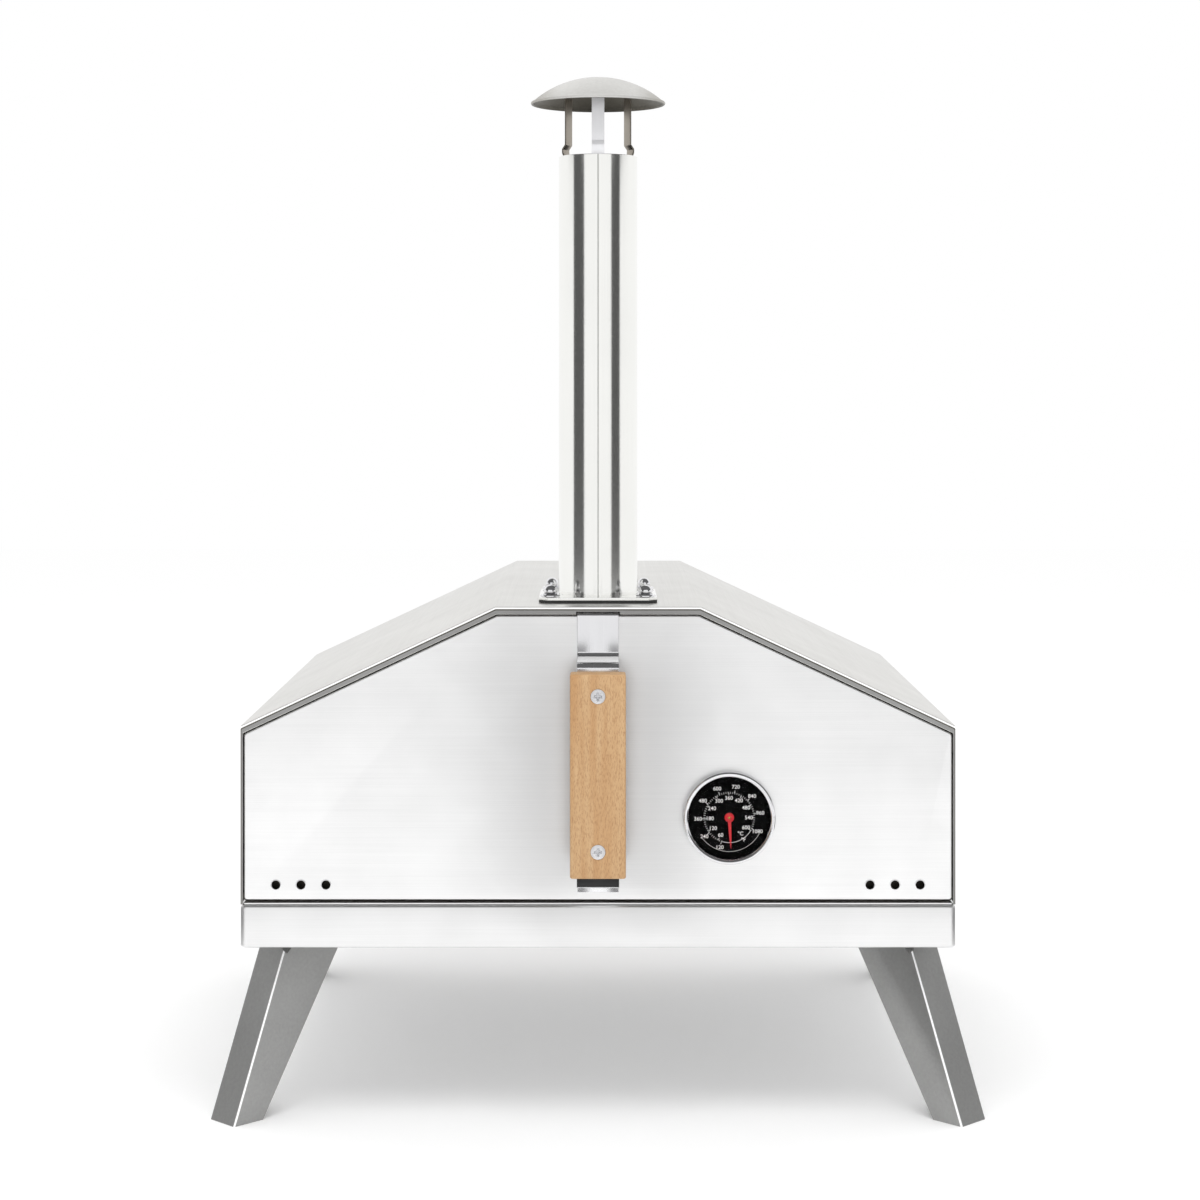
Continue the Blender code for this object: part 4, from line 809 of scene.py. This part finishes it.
def thermometer():
    """Spun bezel with a rolled lip and an inner step, and the flat glass in it."""
    centre = thermo_centre()
    low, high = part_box("thermo_bezel")
    radius = (high[0] - low[0]) / 2
    front = centre[1] - low[1]
    lip_r, rear, wall = 0.0013, 0.0006, 0.0008
    lip = arc((radius - lip_r, front - lip_r), lip_r, 0, 120, 8)
    inner = [(radius - 0.0029, front - 0.0007), (radius - 0.0035, front - 0.0016),
             (radius - 0.0035, front - 0.0024), (radius - wall, front - 0.0024), (radius - wall, rear)]
    section = np.concatenate([[(radius, rear)], lip, inner])
    ring = surface(spun(section, centre, "-Y", 128), caps=None, loop=True)
    shaped("dial_bezel", ring, "bezel", "door", ("thermo_bezel",), 45.0)
    pane_low, pane_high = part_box("thermo_glass")
    near, far = centre[1] - pane_high[1], centre[1] - pane_low[1]
    pane = (pane_high[0] - pane_low[0]) / 2
    chip = 0.0002
    section = [(0.0, far), (pane - chip, far), (pane, far - chip), (pane, near + chip), (pane - chip, near),
               (0.0, near)]
    disc = surface(spun(section, centre, "-Y", 96), caps=None)
    shaped("dial_pane", disc, "glass", "door", ("thermo_glass",))


def dial_mark(text, size, across, up):
    """One number of the dial as flat faces in the dial's own plane."""
    font = bpy.data.curves.new("mark", "FONT")
    font.body = text
    font.size = size
    font.align_x = "CENTER"
    font.align_y = "CENTER"
    font.offset = size * 0.008
    font.resolution_u = 3
    item = bpy.data.objects.new("mark", font)
    bpy.context.scene.collection.objects.link(item)
    bpy.context.view_layer.update()
    mesh = bpy.data.meshes.new_from_object(item.evaluated_get(bpy.context.evaluated_depsgraph_get()))
    points = np.empty(len(mesh.vertices) * 3)
    mesh.vertices.foreach_get("co", points)
    points = points.reshape(-1, 3) + (across, up, 0.0)
    faces = [list(face.vertices) for face in mesh.polygons]
    bpy.data.objects.remove(item)
    return points, faces


def ring_arc(inner, outer, start, stop, steps=90):
    """Flat band between two radii, from one clock angle to another, clockwise from twelve o'clock."""
    angle = np.radians(np.linspace(start, stop, steps))
    spoke = np.stack([np.sin(angle), np.cos(angle), np.zeros(steps)], -1)
    return surface(np.stack([inner * spoke, outer * spoke]), around=False, caps=None)


def dial_print(sizes):
    """Two scales of numbers, a ring of ticks and two thin arcs, printed on the dial.

    first and last are the clock angles of the ring's ends. A scale is its step, how many numbers it has, the
    angle of the first, the angle between two, its radius, and how far its long ticks reach in or out.
    """
    centre = thermo_centre()
    low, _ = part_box("thermo_dial")
    first, last, ring = 198.0, 480.8, sizes.tick_ring
    scales = ((120, 9, first, 34.8, 0.0218, 0.0019), (60, 10, 206.3, 30.5, 0.0136, -0.0018))
    fine, bold = 0.35, 0.5
    marks = [ring_arc(ring - 0.0008, ring + 0.0006, clock - fine, clock + fine, 3)
             for clock in np.linspace(first, last, 56)]
    for step, count, start, pitch, radius, tick in scales:
        for index in range(count):
            clock = start + pitch * index
            spot = radius * math.sin(math.radians(clock)), radius * math.cos(math.radians(clock))
            marks.append(dial_mark(str(step * (index + 1)), sizes.numeral, *spot))
            ends = sorted((ring, ring + tick))
            marks.append(ring_arc(*ends, clock - bold, clock + bold, 3))
    marks.append(dial_mark("°C", sizes.numeral, 0.0078, -0.0112))
    marks.append(dial_mark("°F", sizes.numeral, 0.0098, -0.0154))
    half_line = 0.00015
    marks.append(ring_arc(ring - half_line, ring + half_line, 121.0, 197.0))
    marks.append(ring_arc(0.0235, 0.0237, 118.0, 232.0))
    points, faces = merged(marks)
    proud, thickness = 0.00008, 0.00004
    depth = np.full(len(points), low[1] - proud)
    world = np.stack([points[:, 0] + centre[0], depth, points[:, 1] + centre[2]], -1)
    mesh = bpy.data.meshes.new("dial_print")
    mesh.from_pydata(world.tolist(), [], faces)
    piece = finish_piece("dial_print", mesh, "print", "door", ())
    ink = piece.modifiers.new("ink", "SOLIDIFY")
    ink.thickness = thickness


def needle():
    """Tapered pointer with a domed hub and a brass pin, pointing at the frame needle's angle."""
    _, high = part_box("thermo_needle")
    centre = thermo_centre()
    points = points_of("thermo_needle") - np.array(centre)
    tip = points[np.argmax(np.hypot(points[:, 0], points[:, 2]))]
    clock = math.atan2(tip[0], tip[2])
    level = centre[1] - high[1] + 0.0012
    length, tail, thickness = math.hypot(tip[0], tip[2]), 0.0020, 0.0005
    place = np.linspace(-tail, length, 24)
    half = np.interp(place, [-tail, 0.004, length * 0.7, length], [0.0011, 0.0011, 0.0007, 0.00012])
    bar = np.stack([rounded_box((2 * width, thickness), min(0.0001, width * 0.8)) for width in half])
    flat = np.stack([bar[..., 0], np.repeat(place[:, None], bar.shape[1], 1), level + bar[..., 1]], -1)
    spin = np.array([[math.cos(clock), math.sin(clock)], [-math.sin(clock), math.cos(clock)]])
    turned = flat[..., :2] @ spin
    blade = np.stack([turned[..., 0] + centre[0], centre[1] - flat[..., 2], turned[..., 1] + centre[2]], -1)
    hub_r, pin_r = 0.0034, 0.0009
    under, pin_foot = level - 0.0003, level + 0.0005
    dome = arc((0.0, level + 0.0012 - hub_r * 1.3), hub_r * 1.3, 90, 40, 8)
    skirt = [(hub_r, dome[-1][1] - 0.0001), (hub_r, under), (0.0, under)]
    hub = spun(np.concatenate([dome, skirt]), centre, "-Y", 48)
    shape = merged([surface(blade), surface(hub, caps=None)])
    shaped("pointer", shape, "needle", "needle", ("thermo_needle",))
    pin = [(0.0, level + 0.0018), (0.0006, level + 0.0017), (pin_r, level + 0.0014), (pin_r, pin_foot),
           (0.0, pin_foot)]
    pin = surface(spun(pin, centre, "-Y", 32), caps=None)
    shaped("pointer_pin", pin, "brass", "needle", ())


def fold_edges(mesh, out):
    """The two long edges of a leg where its web turns into its flanges, as (index, lower end, upper end)."""
    side = np.array([-out[1], out[0]])
    shortest, nearly = 0.05, 1e-6
    found = []
    for sign in (-1, 1):
        best = None
        for edge in mesh.edges:
            ends = np.array(sorted([tuple(mesh.vertices[index].co) for index in edge.vertices],
                                   key=lambda end: end[2]))
            if ends[1, 2] - ends[0, 2] < shortest:
                continue
            score = (ends[:, :2] @ (out + sign * side)).sum()
            if best is None or score > best[0] + nearly:
                best = score, edge.index, ends
        found.append(best[1:])
    return found


def legs(sizes):
    """Four channel legs. The two folds beside the web get a round bend in painted highlight and a notch at
    the top.
    """
    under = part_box("base_tray")[0][2]
    notch_r, above = 0.0100, 0.0040
    profile = [(0.0, above), (notch_r, above), (notch_r, 0.0), (0.0, -notch_r)]
    for end in ("front_left", "front_right", "rear_left", "rear_right"):
        node = "leg_" + end
        mesh = whole_faces(node)
        points = points_of(node)
        out = np.sign(((points.min(0) + points.max(0)) / 2)[:2]) / math.sqrt(2)
        notches = []
        for _, ends in fold_edges(mesh, out):
            spot = ends[0] + (ends[1] - ends[0]) * (under - ends[0, 2]) / (ends[1, 2] - ends[0, 2])
            notches.append(surface(spun(profile, spot, sides=24), caps=None))
        mesh = cut(mesh, notches)
        weights = mesh.attributes.new("bevel_weight_edge", "FLOAT", "EDGE")
        for index, _ in fold_edges(mesh, out):
            weights.data[index].value = 1.0
        piece = finish_piece("splayed_" + node, mesh, "leg", node, (node,), sizes.leg_bend,
                             segments=3)
        bend = piece.modifiers["soft_edges"]
        bend.limit_method = "WEIGHT"
        bend.use_clamp_overlap = False
        # painted highlight: the bevelled bends take the white fold steel
        piece.data.materials.append(PAINTS["fold"])
        bend.material = 1


def rear_fittings():
    """Rear panel, bulkhead, drawer, hatch and baking stone with their edges softened."""
    for name, node, paint, body, slot, edge in (
            ("back_plate", "rear_panel", "tray", "oven", "brushed_steel", 0.0003),
            ("front_bulkhead", "mouth_frame", "painted_shade", "oven", "liner_steel", 0.0003),
            # the bulkhead wears painted shade, its sill the plain tray steel
            ("drawer_tray", "fuel_drawer", "door", "drawer", "brushed_steel", 0.0003),
            ("drawer_grate", "fuel_grate", "liner", "drawer", "liner_steel", 0.0004),
            ("hatch_flap", "fuel_hatch", "door", "hatch", "brushed_steel", 0.0004),
            ("hatch_leaf_plate", "hatch_leaf", "tray", "oven", "brushed_steel", 0.0003),
            ("hatch_handle", "hatch_knob", "knob", "hatch", "knob_black", 0.0008),
            ("baking_stone", "pizza_stone", "stone", "stone", "stone", 0.0012)):
        piece = refined(name, node, paint, body, edge)
        if node == "mouth_frame":
            sill = BODY_LOW[2] + 0.003
            repaint(piece, "tray", lambda place, facing: place[:, 2] < sill)


CARRIED = {
    "liner": ("inner_liner", "chamber_floor", "stone_rail_left", "stone_rail_right", "flame_baffle"),
    "felt": ("base_insulation", "shell_insulation"),
    "gasket": ("flue_gasket",),
    "dial": ("thermo_dial",),
    "tray": ("thermo_case",),
    "zinc": ("hatch_pin", "thermo_nut"),
}


def dress_frame():
    """Finishes for the frame nodes whose own shape is right."""
    for paint, nodes in CARRIED.items():
        for node in nodes:
            wear(node, paint)
    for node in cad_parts:
        if node.startswith(("leg_bracket_", "leg_bolt_", "flange_screw_")):
            wear(node, "zinc")


def wear(node, paint):
    """Give a frame node's own shape a finish."""
    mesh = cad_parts[node].data
    mesh.materials.clear()
    mesh.materials.append(PAINTS[paint])


# ---------------------------------------------------------------- stage

def stage_object(name, mesh, paint, seen=True):
    """Put a mesh round the oven, as part of the studio and not of the oven."""
    mesh.materials.append(paint)
    item = bpy.data.objects.new(name, mesh)
    bpy.context.scene.collection.objects.link(item)
    item.visible_camera = seen
    return item


def flat_sheet(name, corners):
    """One flat face between its corners."""
    mesh = bpy.data.meshes.new(name)
    mesh.from_pydata(corners, [], [tuple(range(len(corners)))])
    return mesh


def plain(name, tone, glow=0.0):
    """Matte studio paint."""
    paint, _, shader = new_material(name)
    shader.inputs["Base Color"].default_value = (tone, tone, tone, 1.0)
    shader.inputs["Roughness"].default_value = 0.9
    shader.inputs["Specular IOR Level"].default_value = 0.0
    shader.inputs["Emission Color"].default_value = (1.0, 1.0, 1.0, 1.0)
    shader.inputs["Emission Strength"].default_value = glow
    return paint


def quad(name, corners, paint):
    """Dark studio panel that only mirrors see: it shapes reflections and casts no shadow."""
    panel = stage_object(name, flat_sheet(name, corners), paint, seen=False)
    for ray in ("visible_diffuse", "visible_shadow", "visible_transmission", "visible_volume_scatter"):
        setattr(panel, ray, False)


def studio(stage):
    """Pale floor, even sky, a soft box overhead, and panels that the bright steel mirrors."""
    reach = 6.0
    floor = flat_sheet("floor", [(-reach, -reach, 0.0), (reach, -reach, 0.0), (reach, reach, 0.0),
                                 (-reach, reach, 0.0)])
    stage_object("floor", floor, plain("Pale_floor", stage.floor_tone, stage.floor_glow))
    flag, ceiling, front = (plain(name, 0.0, tone) for name, tone in (
        ("Grey_flag", stage.flag_tone), ("Dim_ceiling", stage.ceiling_tone), ("Dim_front", stage.front_tone)))
    far, low, high = 1.3, 0.26, 0.82
    for name, start, stop in (("flag_left", -68, -36), ("flag_right", 34, 59)):
        left, right = [(far * math.sin(math.radians(angle)), -far * math.cos(math.radians(angle)))
                       for angle in (start, stop)]
        quad(name, [(*left, low), (*right, low), (*right, high), (*left, high)], flag)
    half, outer, near, behind = 3.0, 4.0, -3.0, 0.5
    quad("ceiling", [(-half, near, 1.5), (half, near, 1.5), (half, behind, 2.2), (-half, behind, 2.2)],
         ceiling)
    for name, side in (("wing_left", -1), ("wing_right", 1)):
        quad(name, [(side * half, near, 1.5), (side * half, behind, 2.2), (side * outer, behind, 1.2),
                    (side * outer, near, 1.0)], ceiling)
    gap, wide, ahead, foot, head = 0.029, 0.062, -0.47, 0.088, 0.335
    for name, left, right in (("front_left", -wide, -gap), ("front_right", gap, wide)):
        quad(name, [(left, ahead, foot), (right, ahead, foot), (right, ahead, head), (left, ahead, head)],
             front)
    ahead, behind, head = -0.55, 0.3, 0.16
    for name, side in (("low_left", -0.62), ("low_right", 0.62)):
        quad(name, [(side, ahead, 0.0), (side, behind, 0.0), (side, behind, head), (side, ahead, head)], flag)
    sky_and_lamp(stage)
    bpy.context.scene.view_settings.view_transform = "Standard"


def sky_and_lamp(stage):
    """Even white light from all round, and a soft box above that mirrors don't show."""
    world = bpy.data.worlds.new("Even_sky")
    world.use_nodes = True
    world.node_tree.nodes["Background"].inputs["Color"].default_value = (1.0, 1.0, 1.0, 1.0)
    world.node_tree.nodes["Background"].inputs["Strength"].default_value = stage.sky
    bpy.context.scene.world = world
    lamp = bpy.data.lights.new("overhead", "AREA")
    lamp.shape = "RECTANGLE"
    lamp.size = 1.4
    lamp.size_y = 1.0
    lamp.energy = stage.overhead
    item = bpy.data.objects.new("overhead", lamp)
    item.location = (0.0, -1.2, 2.2)
    item.rotation_euler = (math.radians(28), 0.0, 0.0)
    bpy.context.scene.collection.objects.link(item)
    item.visible_camera = False
    item.visible_glossy = False


def camera(stage):
    """Level camera ahead of the door, its lens slid down so that the uprights stay upright."""
    lens = bpy.data.cameras.new("view")
    lens.sensor_width = 36.0
    lens.lens = stage.focal
    lens.shift_y = stage.slide
    lens.clip_end = 50.0
    item = bpy.data.objects.new("view", lens)
    item.location = stage.eye
    item.rotation_euler = (math.pi / 2, 0.0, 0.0)
    bpy.context.scene.collection.objects.link(item)
    bpy.context.scene.camera = item


# ---------------------------------------------------------------- add-on

def length(label, text, default, most):
    """A size in metres."""
    return FloatProperty(name=label, description=text, default=default, min=0.0001, max=most,
                         subtype="DISTANCE", unit="LENGTH", precision=4)


def share(label, text, default, most=4.0):
    """A strength or a tone."""
    return FloatProperty(name=label, description=text, default=default, min=0.0, max=most)


def colour(label, text, code):
    """A colour, given by its sRGB hex code."""
    return FloatVectorProperty(name=label, description=text, size=3, subtype="COLOR", default=linear(code),
                               min=0.0, max=1.0)


class OvenSizes(PropertyGroup):
    """Small sizes of the finished surfaces"""

    fold: length("Fold", "Outer radius of the folds of the roof and walls", 0.0022, 0.004)
    tray_corner: length("Tray corner", "Radius of the upright corners of the tray", 0.0045, 0.010)
    tray_edge: length("Tray edge", "Radius of the tray's top edge", 0.0024, 0.005)
    door_edge: length("Door edge", "Radius of the edge of the door's pan", 0.0011, 0.003)
    grip_rounding: length("Grip rounding", "Radius along the edges of the wooden grips", 0.0019, 0.006)
    strap_bend: length("Strap bend", "Middle radius of the bends of the handle straps", 0.0038, 0.006)
    leg_bend: length("Leg bend", "Width of the bright fold along a leg", 0.0011, 0.0014)
    tick_ring: length("Tick ring", "Radius of the ring of ticks on the dial", 0.0174, 0.022)
    numeral: length("Numeral", "Height of the dial's numbers", 0.0038, 0.006)


class OvenColours(PropertyGroup):
    """Colours of the finished surfaces"""

    door: colour("Door", "Brushed sheet of the door and the drawer", "#EFEFEF")
    tray: colour("Tray", "Brushed sheet of the tray and the rear panel", "#EDEDED")
    roof: colour("Roof", "Brushed sheet of the roof and walls", "#DAD9D6")
    # painted shade: grey of the lip's recessed band
    lip: colour("Lip", "Folded strip of the roof's front lip", "#9A9A99")
    cap: colour("Cap", "Satin sheet of the rain cap", "#C9C8C5")
    # painted shade: colour of the cap's darkened left and right sides
    painted_shade: colour("Smoked", "Sides of the rain cap, dulled by smoke", "#A19E97")
    # painted shade: colour of the darkened underside of the cap, the lip's shadow strip and the bulkhead
    shade_dark: colour("Soot", "Underside of the rain cap", "#605D56")
    screw: colour("Screws", "Nickel plate of the handle screws", "#D8D8DA")
    # painted shade: darker colour of the two rear cap straps
    cap_strap: colour("Cap straps", "Straps tinted by the heat", "#A19A90")
    pipe: colour("Pipe", "Polished flue pipe and its flange", "#F4F4F1")
    strap: colour("Straps", "Polished handle straps and bezel", "#E6E6E8")
    # painted shade: dark colour of the strap's foot under the grip
    foot: colour("Strap foot", "Foot of the door strap, dulled by smoke from the vents", "#3A3A3B")
    leg: colour("Legs", "Satin sheet of the legs", "#9F9F9E")
    # painted highlight: white of the leg bends, the lip hem and the strap tops
    fold: colour("Folds", "Burnished bends of the legs", "#FFFFFF")
    liner: colour("Liner", "Mill finish of the chamber", "#B9B5AE")
    zinc: colour("Zinc", "Plated screws, bolts and brackets", "#B9B6B9")
    felt: colour("Felt", "Ceramic fibre insulation", "#E4DED0")
    gasket: colour("Gasket", "Graphite tape under the flange", "#3A3A39")
    stone: colour("Stone", "Cordierite baking stone", "#CDB38D")
    dial: colour("Dial", "Face of the thermometer", "#0E0E0F")
    dial_print: colour("Dial print", "Numbers and ticks", "#F4F4F4")
    needle: colour("Needle", "Enamel of the needle", "#D01C26")
    brass: colour("Brass", "Pin in the needle's hub", "#C09A54")
    knob: colour("Knob", "Bakelite knob of the hatch", "#161617")
    wood_dark: colour("Beech, dark", "Darker tone of the grips", "#BB9062")
    wood_light: colour("Beech, light", "Lighter tone of the grips", "#CBA97F")
    wood_ray: colour("Beech, rays", "Short rays in the beech", "#A67C52")


class OvenStage(PropertyGroup):
    """Light, floor and camera"""

    sky: share("Sky", "Strength of the even light all round", 1.0)
    floor_tone: share("Floor tone", "Reflectance of the floor", 0.94, 1.0)
    floor_glow: share("Floor glow", "Light added to the floor", 0.05)
    flag_tone: share("Flag tone", "Brightness of the panels that the pipe mirrors", 0.10)
    ceiling_tone: share("Ceiling tone", "Brightness of the ceiling that the bends mirror", 0.14)
    front_tone: share("Front tone", "Brightness of the panels that the door mirrors", 0.20)
    overhead: share("Overhead", "Power of the soft box in watts", 16.0, 500.0)
    focal: share("Focal length", "Lens of the camera in millimetres", 75.0, 200.0)
    slide: FloatProperty(name="Slide", description="Shift of the lens, as a share of the frame",
                         default=-0.1767)
    eye: FloatVectorProperty(name="Eye", description="Place of the camera", size=3, subtype="TRANSLATION",
                             default=(0.0014, -1.978, 0.514))


class OVEN_OT_finishes(Operator):
    """Make every finish of the oven"""

    bl_idname = "oven.finishes"
    bl_label = "Finishes"

    def execute(self, context):
        make_paints(context.scene.oven_colours)
        return {"FINISHED"}


class OVEN_OT_body(Operator):
    """Build the folded roof and walls and the tray below them"""

    bl_idname = "oven.body"
    bl_label = "Body"

    def execute(self, context):
        body_shell(context.scene.oven_sizes)
        tray(context.scene.oven_sizes)
        return {"FINISHED"}


class OVEN_OT_door(Operator):
    """Build the door with its vents, strap, grip and screws"""

    bl_idname = "oven.door"
    bl_label = "Door"

    def execute(self, context):
        sizes = context.scene.oven_sizes
        door(sizes)
        handle_strap(sizes)
        grip("front_grip", "handle", ("lower", "upper"), "door", -1, 2, sizes)
        return {"FINISHED"}


class OVEN_OT_thermometer(Operator):
    """Build the thermometer: bezel, glass, dial print and needle"""

    bl_idname = "oven.thermometer"
    bl_label = "Thermometer"

    def execute(self, context):
        thermometer()
        dial_print(context.scene.oven_sizes)
        needle()
        return {"FINISHED"}


class OVEN_OT_chimney(Operator):
    """Build the flue pipe, its flange and nuts, and the rain cap"""

    bl_idname = "oven.chimney"
    bl_label = "Chimney"

    def execute(self, context):
        flue()
        dome_nuts()
        rain_cap()
        return {"FINISHED"}


class OVEN_OT_legs(Operator):
    """Build the four splayed legs"""

    bl_idname = "oven.legs"
    bl_label = "Legs"

    def execute(self, context):
        legs(context.scene.oven_sizes)
        return {"FINISHED"}


class OVEN_OT_rear(Operator):
    """Build the rear panel, the fuel drawer with its handle, and the hatch"""

    bl_idname = "oven.rear"
    bl_label = "Rear"

    def execute(self, context):
        sizes = context.scene.oven_sizes
        rear_fittings()
        drawer_strap(sizes)
        grip("rear_grip", "drawer", ("left", "right"), "drawer", 1, 0, sizes)
        return {"FINISHED"}


class OVEN_OT_dress(Operator):
    """Give the frame's hidden pieces their finishes"""

    bl_idname = "oven.dress"
    bl_label = "Dress"

    def execute(self, context):
        dress_frame()
        return {"FINISHED"}


class OVEN_OT_stage(Operator):
    """Set up the floor, the light and the camera"""

    bl_idname = "oven.stage"
    bl_label = "Stage"

    def execute(self, context):
        studio(context.scene.oven_stage)
        camera(context.scene.oven_stage)
        return {"FINISHED"}


OPERATORS = (OVEN_OT_finishes, OVEN_OT_body, OVEN_OT_door, OVEN_OT_thermometer, OVEN_OT_chimney, OVEN_OT_legs,
             OVEN_OT_rear, OVEN_OT_dress, OVEN_OT_stage)


class OVEN_PT_sidebar(Panel):
    """Sizes, colours, stage and steps of the oven"""

    bl_idname = "OVEN_PT_sidebar"
    bl_label = "Pizza oven"
    bl_space_type = "VIEW_3D"
    bl_region_type = "UI"
    bl_category = "Oven"

    def draw(self, context):
        for group in (context.scene.oven_sizes, context.scene.oven_colours, context.scene.oven_stage):
            box = self.layout.box()
            for key in group.bl_rna.properties.keys():
                if key not in ("rna_type", "name"):
                    box.prop(group, key)
        for step in OPERATORS:
            self.layout.operator(step.bl_idname)


CLASSES = (OvenSizes, OvenColours, OvenStage) + OPERATORS + (OVEN_PT_sidebar,)


def register():
    """Add the panel, its operators and its settings to Blender."""
    for item in CLASSES:
        bpy.utils.register_class(item)
    bpy.types.Scene.oven_sizes = PointerProperty(type=OvenSizes)
    bpy.types.Scene.oven_colours = PointerProperty(type=OvenColours)
    bpy.types.Scene.oven_stage = PointerProperty(type=OvenStage)


def unregister():
    """Take them out again."""
    del bpy.types.Scene.oven_stage
    del bpy.types.Scene.oven_colours
    del bpy.types.Scene.oven_sizes
    for item in reversed(CLASSES):
        bpy.utils.unregister_class(item)


def main():
    """Build the oven step by step."""
    register()
    for step in OPERATORS:
        getattr(bpy.ops.oven, step.bl_idname.split(".")[1])()


if __name__ == "__main__":
    main()
